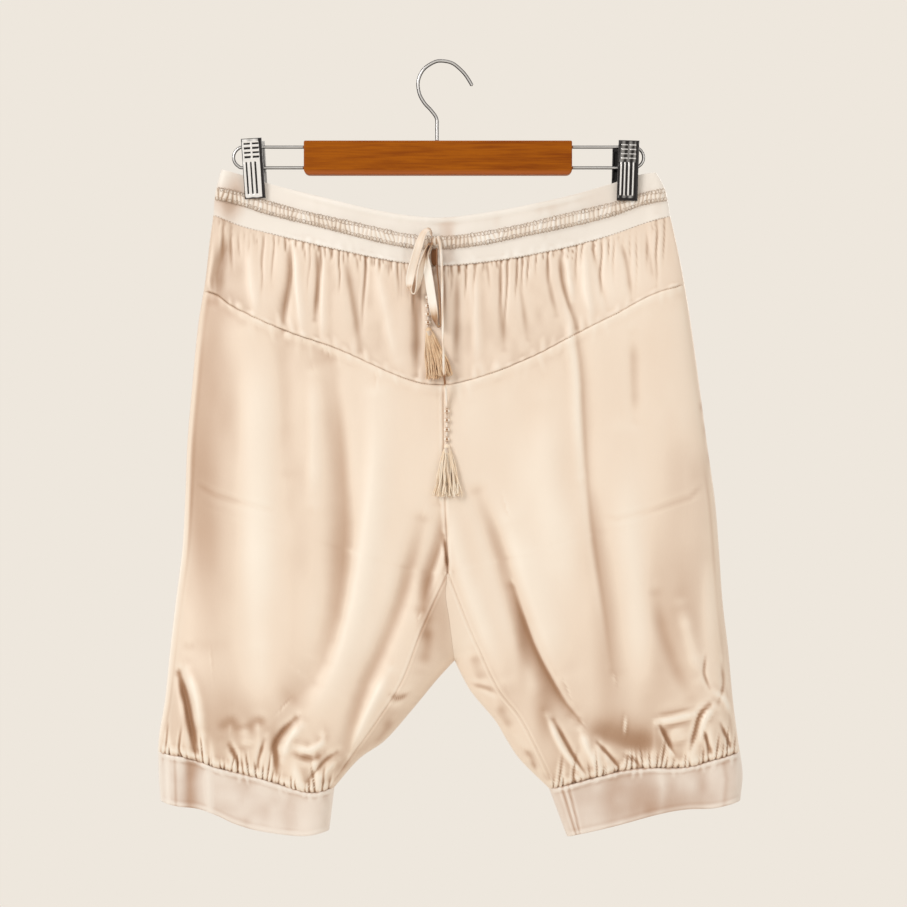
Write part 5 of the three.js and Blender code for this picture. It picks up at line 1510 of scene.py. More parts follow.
def make_thread(drop):
    end = drop.cord[-1]
    top = drop.beads[-1] - TASSEL_DROP
    route = through(
        [
            (end[0], end[1], end[2] - 0.3),
            (drop.x, drop.y, mix(drop.beads[0], drop.beads[-1], 0.5)),
            (drop.x, drop.y, drop.beads[-1]),
            (drop.x, drop.y, drop.beads[-1] - BEAD_RADIUS),
            (drop.x, drop.head_y, top + 0.3),
        ]
    )(np.linspace(0, 1, THREAD_STEPS))
    points, faces = tube(route, THREAD_RADIUS, THREAD_RADIUS, THREAD_SIDES)
    shape = points, faces, np.zeros(len(points))
    nodes = [f"drawstring_thread_{drop.name}"]
    return closed_piece(f"drawstring_{drop.name}_core", shape, "bead thread", nodes)


def fluted_ball(centre, ball):
    """A ball wound with thread from hole to hole, as rows from its upper hole down."""
    angles = np.linspace(ball.drilled, math.pi - ball.drilled, BEAD_RINGS)
    around = np.arange(BEAD_SIDES) * 2 * math.pi / BEAD_SIDES
    a, b = np.meshgrid(angles, around, indexing="ij")
    winding = np.cos(ball.flutes * b + 2.5 * a)
    r = ball.radius * (1 + ball.depth * winding)
    tall = ball.squash * ball.radius
    points = np.stack(
        [r * np.sin(a) * np.cos(b), r * np.sin(a) * np.sin(b), tall * np.cos(a)], -1
    )
    # Painted light and shade: lighter on the crests of the turns of thread and darker between them, darker
    # towards both holes, a painted dark spot in the middle of the front (the name hole is for this spot,
    # where there is no hole), and painted shade in the two drilled holes.
    hole = np.exp(-((((a - math.pi / 2) / 0.42) ** 2) + ((np.sin(b) + 1) / 0.1) ** 2))
    tone = 0.5 * winding + 1 - 2.4 * np.cos(a) ** 2 - 2.6 * hole
    flat = points.reshape(-1, 3)
    holes = [flat[:BEAD_SIDES].mean(0), flat[-BEAD_SIDES:].mean(0)]
    sunk = (0, 0, 0.3 * ball.radius)
    holes = [np.subtract(holes[0], sunk), np.add(holes[1], sunk)]
    faces = grid_faces(BEAD_RINGS, BEAD_SIDES, True).tolist()
    last = len(flat) - BEAD_SIDES
    for k in range(BEAD_SIDES):
        n = (k + 1) % BEAD_SIDES
        faces += [(k, n, len(flat)), (last + n, last + k, len(flat) + 1)]
    points = np.vstack([flat, *holes]) + np.asarray(centre, float)
    return points, faces, np.concatenate([tone.ravel(), [-1, -1]])


def make_beads(drop):
    beads = []
    for number, z in enumerate(drop.beads, 1):
        centre = (drop.x, drop.y, z)
        shape = fluted_ball(centre, BEAD)
        node = f"bead_{drop.name}_{number}"
        beads.append(closed_piece(f"{node}_wound", shape, "ribbon satin", [node]))
    return beads


def lean_to(drop, z):
    """Places a hanging tassel: it leans out over the cloth and swings to one side."""
    place = Matrix.Translation(Vector((drop.x, drop.head_y, z)) * MM)
    return place @ Matrix.Rotation(-drop.swing, 4, "Y") @ Matrix.Rotation(-TASSEL_LEAN, 4, "X")


def make_tassel(drop, sizes):
    empty = bpy.data.meshes.new("tassel_start")
    values = {
        "Strands": sizes.tassel_strands,
        "Length": (TASSEL_LENGTH - TASSEL_NECK) * MM,
        "Root": STRAND_ROOT * MM,
        "Spread": TASSEL_SPREAD / 2 * MM,
        "Depth": TASSEL_DEPTH / 2 * MM,
        "Thread": STRAND_THREAD * MM,
        "Wave": STRAND_WAVE * MM,
        "Seed": STRAND_SEED[drop.name],
        "Material": material_of(drop.tassel),
    }
    skirt = grown(f"tassel_{drop.name}_strands", empty, tree_of(strand_tree), values)
    skirt.data.transform(Matrix.Translation((0, 0, -TASSEL_NECK * MM)))
    start = bpy.data.meshes.new("neck_start")
    neck = {"Turns": NECK.turns, "Radius": NECK.radius * MM}
    neck |= {"Thread": NECK.thread * MM, "Pitch": NECK.pitch * MM}
    neck["Material"] = material_of("bead thread")
    binding = grown(f"tassel_{drop.name}_binding", start, tree_of(ring_tree), neck)
    binding.data.transform(Matrix.Translation((0, 0, -NECK.drop * MM)))
    points, faces, tone = fluted_ball((0, 0, -HEAD_DROP), HEAD)
    name = f"tassel_{drop.name}_head"
    head = new_object(
        name, outwards(fill_mesh(name, points, faces, tone)), material_of(drop.tassel)
    )
    place = lean_to(drop, drop.beads[-1] - TASSEL_DROP)
    for piece in (skirt, binding, head):
        piece.data.transform(place)
        piece.data.update()
    declare(skirt, [f"tassel_{drop.name}"])
    declare(binding, [])
    declare(head, [])
    return [skirt, binding, head]


def make_cords():
    sizes = bpy.context.scene.pantaloon_sizes
    for drop in DROPS:
        cord = make_drawstring_end(drop)
        hung = [make_thread(drop), *make_beads(drop), *make_tassel(drop, sizes)]
        [value * MM for value in drop.cord[0]]
        [[value * MM for value in place] for place in drop.cord]


# ------------------------------------------------------------------ cloth pieces
NEAR_EDGE = np.array([0, 0.45, 1.1, 2, 3.2, 4.8])


def places(width, pitch, extra=()):
    """Shares of a width: even steps, crowded where the cloth turns at both edges."""
    even = np.linspace(NEAR_EDGE[-1], width - NEAR_EDGE[-1], int(width / pitch))
    marks = np.concatenate([NEAR_EDGE, even[1:-1], width - NEAR_EDGE, np.array(extra) * width])
    return np.unique(np.round(marks / width, 6))


def lifted(face, flat, relief_of, leg=None, edges=()):
    """Points of a flat sheet moved out to the cloth's face; edges stay near the middle."""
    x, z = flat[..., 0], flat[..., 1]
    y, tone = stand(face, x, z, relief_of, leg)
    for column in edges:
        y[:, column] = face * 0.15
    return np.stack([x, y, z], -1), tone


Cut = namedtuple("Cut", "width length area held")


def sew(name, points, tone, finish, nodes, wrap=False):
    """Makes one cloth piece with its wall."""
    sizes = bpy.context.scene.pantaloon_sizes
    mesh = sheet_mesh(name, points, tone, wrap)
    piece = wall(new_object(name, mesh, material_of(finish)), sizes.cloth)
    declare(piece, nodes)
    return piece


FACES = ((FRONT, "front"), (BACK, "back"))
CLOTH_PITCH = 1.55
CLOTH_ROW = 2.7
BAND_ROW = 1.6
YOKE_PITCH = 1.25
YOKE_ROW = 2
BACK_COARSER = 1.6  # the back has the same folds on a wider mesh


def cross_sheet(face, top_of, foot_of, pitch, row):
    """The flat sheet between two lines that cross the garment."""
    wider = BACK_COARSER if face == BACK else 1
    top, foot = cross_line(top_of), cross_line(foot_of)
    sides = [side_line(side, top(end)[1], foot(end)[1]) for side, end in ((LEFT, 0), (RIGHT, 1))]
    wide = float(top(1)[0] - top(0)[0])
    tall = float(np.abs(top(0.5)[1] - foot(0.5)[1]))
    u = places(wide, pitch * wider)
    v = places(tall, row)
    return patch(top, foot, *sides)(u[None, :], v[:, None])


def make_waistband():
    for face, name in FACES:
        flat = cross_sheet(face, band_top, waist_seam, CLOTH_PITCH, BAND_ROW)
        points, tone = lifted(face, flat, band_relief, edges=(0, -1))
        nodes = [f"waistband_{name}_left", f"waistband_{name}_right"]
        sew(
            f"waistband_{name}_cloth", points, tone + 0.1, "band satin",
            nodes,
        )
        make_casing(face, name)


RIB_STEP = 0.55
RIB_ROWS = 16
RIB_HEIGHT = 1.2
CASING_LIFT = 0.9


def make_casing(face, name):
    """The ruched strip: short upright puffs, uneven, drawn in at both stitched edges."""
    pitch = bpy.context.scene.pantaloon_sizes.rib_pitch / MM
    top, foot = cross_line(casing_top), cross_line(casing_foot)
    wide = float(top(1)[0] - top(0)[0])
    wider = BACK_COARSER if face == BACK else 1
    u = np.linspace(0, 1, int(wide / RIB_STEP / wider))[None, :]
    v = np.linspace(0, 1, RIB_ROWS)[:, None]
    flat = mix(top(u), foot(u), v[..., None])
    x, z = flat[..., 0], flat[..., 1]
    base, _tone = stand(face, x, z, band_relief)
    wander = 0.9 * ripple(x, z, (13, 60), 71 + face) + 0.5 * ripple(x, z, (6, 5), 72 + face)
    bow = 1.3 * (v - 0.5) * ripple(x, z, (9, 90), 73 + face)
    phase = (x + wander) / pitch + bow
    crest = np.abs(np.sin(math.pi * phase)) ** 0.8
    swell = 0.72 + 0.28 * ripple(np.floor(phase) * pitch, z, (4, 40), 74 + face)
    ruched = (1 - np.abs(2 * v - 1) ** 3.2) ** 0.6
    ends = smooth(np.minimum(u, 1 - u) / 0.02)
    height = (CASING_LIFT * mix(0.3, 1, ruched) + RIB_HEIGHT * crest * swell * mix(0.35, 1, ruched)) * ends
    y = base + face * (height + 0.2)
    points = np.stack([x, y, z], -1)
    # Painted light on the puffs and painted shade between them, then the cloth's broad painted lights and
    # shades and some random unevenness.
    tone = np.clip(1.3 * crest * swell - 0.5, -1, 0.8) * mix(0.7, 1, ruched)
    tone = tone + 0.45 * shaded(face, x, z) + 0.3 * ripple(x, z, (11, 40), 75 + face)
    sew(
        f"casing_{name}_ruched", points, np.broadcast_to(tone, x.shape), "ruched satin",
        [f"casing_{name}"],
    )


def make_yoke():
    for face, name in FACES:
        flat = cross_sheet(face, waist_seam, yoke_seam, YOKE_PITCH, YOKE_ROW)
        points, tone = lifted(face, flat, yoke_relief, edges=(0, -1))
        sew(f"yoke_{name}_cloth", points, tone, "yoke satin", [f"yoke_{name}"])


YOKE_LINE = cross_line(yoke_seam)
YOKE_CENTRE = float((FRONT_SEAM[0][0] - YOKE_LINE(0)[0]) / (YOKE_LINE(1)[0] - YOKE_LINE(0)[0]))
FRONT_SPLIT = 5 / 11
BACK_SPLIT = 0.62
INSEAM_AT_CUFF = 0.965


def leg_top(leg):
    end = 0 if leg.side == LEFT else 1
    return lambda share: YOKE_LINE(mix(end, YOKE_CENTRE, np.asarray(share, float)))


def fitted_inseam(leg):
    """The inseam, moved a little so that it ends on the cuff's seam."""
    line = through(leg.inseam)
    move = through(leg.cuff_seam)(INSEAM_AT_CUFF) - np.array(leg.inseam[-1], float)

    def at(share):
        return line(share) + move * np.asarray(share, float)[..., None]

    return at


def in_two(split, upper, lower):
    """One line that follows an upper line to its split and a lower one from there."""

    def line(share):
        share = np.asarray(share, float)
        above = upper(np.minimum(share / split, 1))
        below = lower(np.maximum((share - split) / (1 - split), 0))
        return np.where((share < split)[..., None], above, below)

    return line


def front_leg_sheet(leg):
    top = leg_top(leg)
    seam = through(leg.cuff_seam)

    def foot(share):
        return seam(np.asarray(share, float) * INSEAM_AT_CUFF)

    inner = in_two(FRONT_SPLIT, through(FRONT_SEAM), fitted_inseam(leg))
    return patch(top, foot, side_line(leg.side, top(0)[1], foot(0)[1]), inner)


LEG_WIDE = 245
LEG_TALL = 400


def make_front_leg(leg):
    sheet = front_leg_sheet(leg)
    u = places(LEG_WIDE, CLOTH_PITCH)
    v = places(LEG_TALL, CLOTH_ROW, (FRONT_SPLIT,))
    points, tone = lifted(FRONT, sheet(u[None, :], v[:, None]), leg_relief, leg, edges=(0,))
    sew(
        f"leg_front_{leg.name}_cloth", points, tone, "leg satin",
        [f"leg_front_{leg.name}"],
    )


STRIP_WIDE = 70
# Painted shade on the left leg's turned strip, painted light on the right one's.
STRIP_LIGHT_AND_SHADE = {"left": -0.25, "right": 0.1}


def make_back_leg(leg):
    """The back panel, which turns round the inner fold and comes forward to the inseam."""
    top = leg_top(leg)
    foot = through(leg.cuff_seam)
    fold = through(leg.fold)
    inner = in_two(BACK_SPLIT, through(BACK_SEAM_BEHIND), fold)
    sheet = patch(top, foot, side_line(leg.side, top(0)[1], foot(0)[1]), inner)
    u = places(LEG_WIDE, CLOTH_PITCH * BACK_COARSER)
    v = places(LEG_TALL, CLOTH_ROW, (BACK_SPLIT,))
    points, tone = lifted(BACK, sheet(u[None, :], v[:, None]), leg_relief, leg, edges=(0,))
    rows = v >= BACK_SPLIT - 1e-6
    points[rows, -1, 1] = 0
    inseam = fitted_inseam(leg)
    start, end = fold(1), inseam(1)

    def strip_foot(share):
        return mix(start, end, np.asarray(share, float)[..., None])

    strip = patch(through(BACK_SEAM_TURNED), strip_foot, fold, inseam)
    s = places(STRIP_WIDE, CLOTH_PITCH)[1:]
    t = (v[rows] - BACK_SPLIT) / (1 - BACK_SPLIT)
    turned_points, turned_tone = lifted(
        FRONT, strip(s[None, :], np.maximum(t, 0)[:, None]), leg_relief, leg
    )
    missing = np.full((np.count_nonzero(~rows), len(s), 3), np.nan)
    points = np.hstack([points, np.vstack([missing, turned_points])])
    # The turned strip gets its painted shade or light.
    tone = np.hstack([tone, np.vstack([np.zeros(missing.shape[:2]), turned_tone + STRIP_LIGHT_AND_SHADE[leg.name]])])
    sew(
        f"leg_back_{leg.name}_cloth", points, tone, "leg satin",
        [f"leg_back_{leg.name}"],
    )


def make_legs():
    for leg in LEGS:
        make_front_leg(leg)
        make_back_leg(leg)


CUFF_WIDE = 155
CUFF_TALL = 42
CUFF_PITCH = 1.2
CUFF_ROW = 1.5


def make_cuffs():
    for leg in LEGS:
        top, foot = through(leg.cuff_seam), through(leg.hem)
        ends = top(1), foot(1)

        def inner(share):
            return mix(ends[0], ends[1], np.asarray(share, float)[..., None])

        sheet = patch(top, foot, side_line(leg.side, top(0)[1], foot(0)[1]), inner)
        u = places(CUFF_WIDE, CUFF_PITCH)
        v = places(CUFF_TALL, CUFF_ROW)
        flat = sheet(u[None, :], v[:, None])
        front, front_tone = lifted(FRONT, flat, cuff_relief, leg)
        back, back_tone = lifted(BACK, flat, cuff_relief, leg)
        for points in (front, back):
            points[:, (0, -1), 1] = 0
        ring = np.hstack([front, back[:, -2:0:-1]])
        tone = np.hstack([front_tone, back_tone[:, -2:0:-1]])
        sew(
            f"cuff_{leg.name}_cloth", ring, tone, "cuff satin",
            [f"cuff_{leg.name}"], wrap=True,
        )


POCKET_BEHIND = 2.4
POCKET_FIRST = 0.062
POCKET_LAST = 0.2985
POCKET_TOP = 0.004
POCKET_FOOT = 0.545
POCKET_ACROSS = 26
POCKET_DOWN = 64
POCKET_INNERMOST = -0.6


def make_pocket_bags():
    for leg in LEGS:
        u = np.linspace(POCKET_FIRST, POCKET_LAST, POCKET_ACROSS)
        v = np.linspace(POCKET_TOP, POCKET_FOOT, POCKET_DOWN)
        flat = front_leg_sheet(leg)(u[None, :], v[:, None])
        points, tone = lifted(FRONT, flat, leg_relief, leg)
        points[..., 1] = np.minimum(points[..., 1] + POCKET_BEHIND, POCKET_INNERMOST)
        sew(
            f"pocket_bag_{leg.name}_cloth", points, tone, "yoke satin",
            [f"pocket_bag_{leg.name}"],
        )


# ------------------------------------------------------------------ bow
Knot = namedtuple("Knot", "x y z wide deep tall")
KNOT = Knot(-6.5, -14.9, -156.5, 8, 5.4, 8)
LOOP_LEFT = (
    (-8.6, -17.8, -151.2, 80), (-11.5, -20.5, -147, 70), (-16.5, -21.6, -151.5, 40),
    (-22, -21.8, -168, 10), (-27.2, -22, -188, 15), (-27.4, -22.4, -198, 70),
    (-24, -23, -202.3, 88), (-20.8, -25, -196, 70), (-18, -26, -180, 50),
    (-14.2, -24, -166, 75), (-11.4, -21, -160, 88),
)
LOOP_RIGHT = (
    (-9.5, -19, -158, 60), (-13.6, -20.6, -168, 66), (-12.6, -21.4, -180, 24),
    (-10, -22.4, -197, 10), (-7.4, -23, -214, 16), (-4.8, -23, -227.5, 75),
    (-2.4, -22.8, -230.8, 88), (-0.6, -21.4, -224, 75), (-2, -19.8, -204, 80),
    (-4, -18.6, -182, 85), (-4.4, -17.6, -162.8, 88),
)
LIGHTS_LEFT = (
    (0, -0.7), (0.07, 0.4), (0.14, 0.1), (0.3, 0.35), (0.47, 0.6), (0.55, -0.2), (0.64, -0.1),
    (0.8, 0.3), (0.93, -0.4), (1, -1),
)
LIGHTS_RIGHT = (
    (0, -1), (0.06, -0.2), (0.12, 0.5), (0.2, 1.3), (0.34, 1.3), (0.42, 0.2), (0.52, -0.5),
    (0.62, -0.8), (0.8, -0.9), (1, -1.4),
)
RIBBON_STEPS = 150
RIBBON_ACROSS = 9


def make_loop(name, route, lights):
    """A ribbon loop; its lights are tones at shares of its length."""
    sizes = bpy.context.scene.pantaloon_sizes
    shares = np.linspace(0, 1, RIBBON_STEPS)
    line = through(route)(shares)
    centre, turn = line[:, :3], np.radians(line[:, 3])
    along = np.gradient(centre, axis=0)
    along /= np.linalg.norm(along, axis=1)[:, None]
    side = np.cross(along, (0, -1, 0))
    side /= np.linalg.norm(side, axis=1)[:, None]
    other = np.cross(along, side)
    side = side * np.cos(turn)[:, None] + other * np.sin(turn)[:, None]
    normal = np.cross(side, along)
    across = np.linspace(-1, 1, RIBBON_ACROSS)
    cup = 0.35 * (across**2 - 0.5)
    wave = 0.22 * np.sin(shares * 26)[:, None] * across[None, :]
    points = (
        centre[:, None, :]
        + side[:, None, :] * (across * sizes.ribbon / MM / 2)[None, :, None]
        + normal[:, None, :] * (cup[None, :] + wave)[..., None]
    )
    selvedge = np.where(np.abs(across) > 0.8, 0.5, 0)[None, :]
    tone = np.interp(shares, *zip(*lights))[:, None] + selvedge - 0.25 * np.abs(across)[None, :]
    faces = flipped(grid_faces(RIBBON_STEPS, RIBBON_ACROSS))
    mesh = fill_mesh(f"{name}_ribbon", points.reshape(-1, 3), faces, tone.ravel())
    loop = new_object(mesh.name, mesh, material_of("ribbon satin"))
    wall(loop, sizes.ribbon_thickness).modifiers["wall"].offset = 0
    declare(loop, [name])


Eyelet = namedtuple("Eyelet", "x z wide tall")
EYELET = Eyelet(-6.6, -169.5, 6, 17)
EYELET_SIDES = 48
EYELET_RINGS = 6
EYELET_LIFT = 0.3
SEWING_LIFT = 0.25


def make_eyelet():
    """The worked slit in the band that the drawstring comes out of; the dark inside it is painted shade."""
    angles = np.arange(EYELET_SIDES) * 2 * math.pi / EYELET_SIDES
    shares = np.linspace(1, 0.08, EYELET_RINGS)[:, None]
    x = EYELET.x + shares * np.cos(angles)[None, :] * EYELET.wide / 2
    z = EYELET.z + shares * np.sin(angles)[None, :] * EYELET.tall / 2
    base, _tone = stand(FRONT, x, z, band_relief)
    ring = np.stack([x, base - EYELET_LIFT, z], -1)
    faces = flipped(grid_faces(EYELET_RINGS, EYELET_SIDES, True)).tolist()
    faces.append(list(range((EYELET_RINGS - 1) * EYELET_SIDES, EYELET_RINGS * EYELET_SIDES)))
    # Painted shade, darkest towards the middle of the slit.
    tone = np.broadcast_to(0.5 - 1.1 * shares, x.shape).ravel()
    mesh = fill_mesh("drawstring_slit", ring.reshape(-1, 3), faces, tone)
    slit = wall(new_object("drawstring_slit", mesh, material_of("slit")), 0.2 * MM)
    declare(slit, [])
    line = np.vstack([ring[0], ring[0][:1]]) - (0, SEWING_LIFT, 0)
    values = {"Pitch": 0.75 * MM, "Length": 0.9 * MM, "Thread": 0.6 * MM, "Slant": 0.9}
    values["Material"] = material_of("seam thread")
    worked = grown("drawstring_slit_stitches", line_mesh(line), tree_of(stitch_tree), values)
    declare(worked, [])


KNOT_ROWS = 36
KNOT_SIDES = 48


def make_bow():
    make_loop("bow_loop_left", LOOP_LEFT, LIGHTS_LEFT)
    make_loop("bow_loop_right", LOOP_RIGHT, LIGHTS_RIGHT)
    make_eyelet()
    a = np.linspace(0, math.pi, KNOT_ROWS)[:, None]
    b = (np.arange(KNOT_SIDES) * 2 * math.pi / KNOT_SIDES)[None, :]
    folds = 0.07 * np.cos(5 * a + 1.6 * np.cos(b)) + 0.035 * np.cos(11 * a + b)
    pinch = 1 - 0.16 * np.exp(-(((a - 0.9) / 0.3) ** 2)) - 0.1 * np.exp(-(((a - 2.3) / 0.25) ** 2))
    r = (1 + folds) * pinch
    points = np.stack(
        [
            r * np.cos(a) * KNOT.wide / 2,
            r * np.sin(a) * np.cos(b) * KNOT.deep / 2 * 1.1,
            r * np.sin(a) * np.sin(b) * KNOT.tall / 2 * 1.08,
        ],
        -1,
    ).reshape(-1, 3) + (KNOT.x, KNOT.y, KNOT.z)
    faces = grid_faces(KNOT_ROWS, KNOT_SIDES, True)
    # The knot's tone is painted shade in its folds and painted light on their crests.
    mesh = fill_mesh("bow_knot_wrapped", points, faces, 7 * folds.ravel())
    knot = new_object(mesh.name, outwards(mesh, 0.02 * MM), material_of("ribbon satin"))
    declare(knot, ["bow_knot"])


def line_mesh(points):
    """Edges through points in millimetres, for a row of stitches."""
    base = bpy.data.meshes.new("stitch_line")
    base.from_pydata((points * MM).tolist(), [(i, i + 1) for i in range(len(points) - 1)], [])
    return base


# ------------------------------------------------------------------ stitching
Row = namedtuple("Row", "name height_at lift pitch length thread slant relief")
STITCH_ROWS = (
    Row("casing_head", lambda x: casing_top(x) + 0.5, 0.6, 2.5, 2, 0.4, 0.4, band_relief),
    Row("casing_sole", lambda x: casing_foot(x) - 0.5, 0.6, 2.5, 2, 0.4, 0.4, band_relief),
    Row("waist_seam", lambda x: waist_seam(x) + 0.5, 0.35, 2.7, 1.5, 0.55, 0.1, band_relief),
    Row("yoke_seam", lambda x: yoke_seam(x) - 0.3, 0.3, 2.4, 1.3, 0.38, 0.05, yoke_relief),
)
Edging = namedtuple("Edging", "name height_at lift pitch length tall thread slant seed")
EDGINGS = (
    Edging("casing_top", lambda x: casing_top(x) - 0.8, 2.3, 2.9, 2.9, 3.8, 0.36, 0.75, 3),
    Edging("casing_foot", lambda x: casing_foot(x) + 0.8, 2.3, 2.9, 2.9, 3.8, 0.36, 0.75, 8),
)
STITCH_STEPS = 420
STITCH_END = 0.006  # sewing starts and ends this share of the width inside


def stitched(name, face, row, relief, tree, values):
    """One line of sewing on a face of the garment, worked by a node tree."""
    flat = cross_line(row.height_at)(np.linspace(STITCH_END, 1 - STITCH_END, STITCH_STEPS))
    x, z = flat[:, 0], flat[:, 1]
    y, _tone = stand(face, x, z, relief)
    base = line_mesh(np.stack([x, y + face * row.lift, z], -1))
    values |= {"Pitch": row.pitch * MM, "Length": row.length * MM, "Thread": row.thread * MM}
    values |= {"Slant": row.slant, "Material": material_of("seam thread")}
    declare(grown(f"stitches_{row.name}_{name}", base, tree_of(tree), values), [])


def make_stitching():
    for face, name in FACES:
        for row in STITCH_ROWS:
            stitched(name, face, row, row.relief, stitch_tree, {})
        for row in EDGINGS:
            own = {"Tall": row.tall * MM, "Seed": row.seed + face}
            stitched(name, face, row, band_relief, overlock_tree, own)


# ------------------------------------------------------------------ hanger
Bar = namedtuple("Bar", "left right top foot depth corner")
BAR = Bar(-120, 113, -68.3, -98, 13, 5)
CORNER_STEPS = 8
HOOK_WIRE = 1.5
HOOK_RADIUS = 21
HOOK_STEPS = 160
HOOK_NECK = ((-4.4, -68), (-4.4, -57), (-4.8, -48.5), (-9.5, -41.5), (-15.4, -35))
HOOK_ARC = (200, 170, 140, 110, 90, 65, 40)
HOOK_TIP = ((21.2, -11.8), (26, -19.6))
LOOP_WIRE = 1.35
LOOP_STEPS = 120
LOOP_TOP = -73.5
LOOP_FOOT = -91.5
WireLoop = namedtuple("WireLoop", "name end bar towards")
WIRE_LOOPS = (WireLoop("left", -180, BAR.left, LEFT), WireLoop("right", 174, BAR.right, RIGHT))


def arc_points(centre_x, centre_z, radius_x, radius_z, angles):
    """Places round a centre, at angles in degrees."""
    return [
        (
            centre_x + radius_x * math.cos(math.radians(angle)),
            centre_z + radius_z * math.sin(math.radians(angle)),
        )
        for angle in angles
    ]


def make_bar():
    """The wooden bar: straight grain, rounded lower corners and softened edges."""
    outline = [(BAR.left, BAR.top)]
    for centre_x, first in ((BAR.left + BAR.corner, 180), (BAR.right - BAR.corner, 270)):
        angles = [first + 90 * step / CORNER_STEPS for step in range(CORNER_STEPS + 1)]
        outline += arc_points(centre_x, BAR.foot + BAR.corner, BAR.corner, BAR.corner, angles)
    outline.append((BAR.right, BAR.top))
    count = len(outline)
    half = BAR.depth / 2
    points = [(x, y, z) for y in (-half, half) for x, z in outline]
    faces = [tuple(range(count)), tuple(range(2 * count - 1, count - 1, -1))]
    for k in range(count):
        n = (k + 1) % count
        faces.append((k, k + count, n + count, n))
    mesh = outwards(fill_mesh("hanger_bar_wood", points, faces, np.zeros(len(points))))
    bar = new_object("hanger_bar_wood", mesh, material_of("wood"))
    declare(eased(bar, BAR_EDGE), ["hanger_bar"])


WIRE_SIDES = 16
WIRE_REFLECTION = (-1.5, 2.2)  # painted reflection, dark on the sides and light on the face of a round wire
WIRE_SHARP = 4  # how narrow the light on its face is


def make_wire(name, route, radius, steps, nodes):
    line = through(route)(np.linspace(0, 1, steps))
    points, faces = tube(line, radius, radius, WIRE_SIDES)
    centres = np.vstack([np.repeat(line, WIRE_SIDES, axis=0), line[:1], line[-1:]])
    # Painted reflection: the wire is light only where it faces straight to the front or back, and dark
    # elsewhere.
    facing = np.abs(points[:, 1] - centres[:, 1]) / radius
    tone = WIRE_REFLECTION[0] + WIRE_REFLECTION[1] * facing**WIRE_SHARP
    closed_piece(name, (points, faces, tone), "wire", nodes)


def make_hook_and_wires():
    arc = arc_points(0, HOOK_WIRE - HOOK_RADIUS, HOOK_RADIUS, HOOK_RADIUS, HOOK_ARC)
    route = [(x, 0, z) for x, z in (*HOOK_NECK, *arc, *HOOK_TIP)]
    make_wire("hanger_hook_wire", route, HOOK_WIRE, HOOK_STEPS, ["hanger_hook"])
    centre = (LOOP_TOP + LOOP_FOOT) / 2
    bend = (LOOP_TOP - LOOP_FOOT) / 2
    for loop in WIRE_LOOPS:
        bend_x = loop.end - loop.towards * (bend - LOOP_WIRE)
        half_way = mix(loop.bar, bend_x, 0.5)
        start = loop.bar + 0.2 * loop.towards
        route = [(start, LOOP_TOP), (half_way, LOOP_TOP)]
        route += arc_points(bend_x, centre, loop.towards * bend, bend, range(90, -91, -30))
        route += [(half_way, LOOP_FOOT), (start, LOOP_FOOT)]
        route = [(x, 0, z) for x, z in route]
        make_wire(f"loop_{loop.name}_wire", route, LOOP_WIRE, LOOP_STEPS, [f"wire_loop_{loop.name}"])


# ------------------------------------------------------------------ clips
ClipPlate = namedtuple("ClipPlate", "wide tall thick lean grip top_y")
PLATE = ClipPlate(18, 52.2, 1.4, 0.07, 1.6, -9.6)
PLATE_ACROSS = 65
PLATE_DOWN = 131
Slots = namedtuple("Slots", "rows x half_wide half_tall top pitch")
SLOTS = Slots(4, 3.6, 2.8, 0.95, -4.6, 3.85)
Grooves = namedtuple("Grooves", "places half_wide top foot")
MARK_SHIFT = {"left": -0.5, "right": 0}
FLANK = {"left": 5.7, "right": 6}  # the shaded flank starts here
# How strong the painted shade on each flank is.
FLANK_SHADE = {"left": 2.1, "right": 1.3}
# Painted shade on the hidden faces, ears and jaw of each clip's plates.
INNER_SHADE = {"left": -0.4, "right": -0.95}
GROOVES = {
    "left": Grooves((-5.6, -1.7, 2.1), 0.78, -20.2, -48),
    "right": Grooves((-6.2, -2.9, 0.6, 4.4), 0.6, -19.4, -47.2),
}
EAR_BACK = 5.2
EAR_TOP = -4
EAR_FOOT = -28
EAR_HALF = 0.55
EAR_INSET = 0.65
EAR_FRONT = 0.6
JAW_TOP = -37
JAW_FOOT = -45
JAW_INSET = 1
JAW_FRONT = 0.8
JAW_EASE = 0.45  # room for the cloth's wall under the jaw
ROLLED_BY = 1.1
ROLLED_WIDE = 1.6


def ridge(distance, half, soft=0.35):
    """1 inside a mark, 0 outside it, with soft edges."""
    return smooth((half - np.abs(distance)) / soft + 0.5)


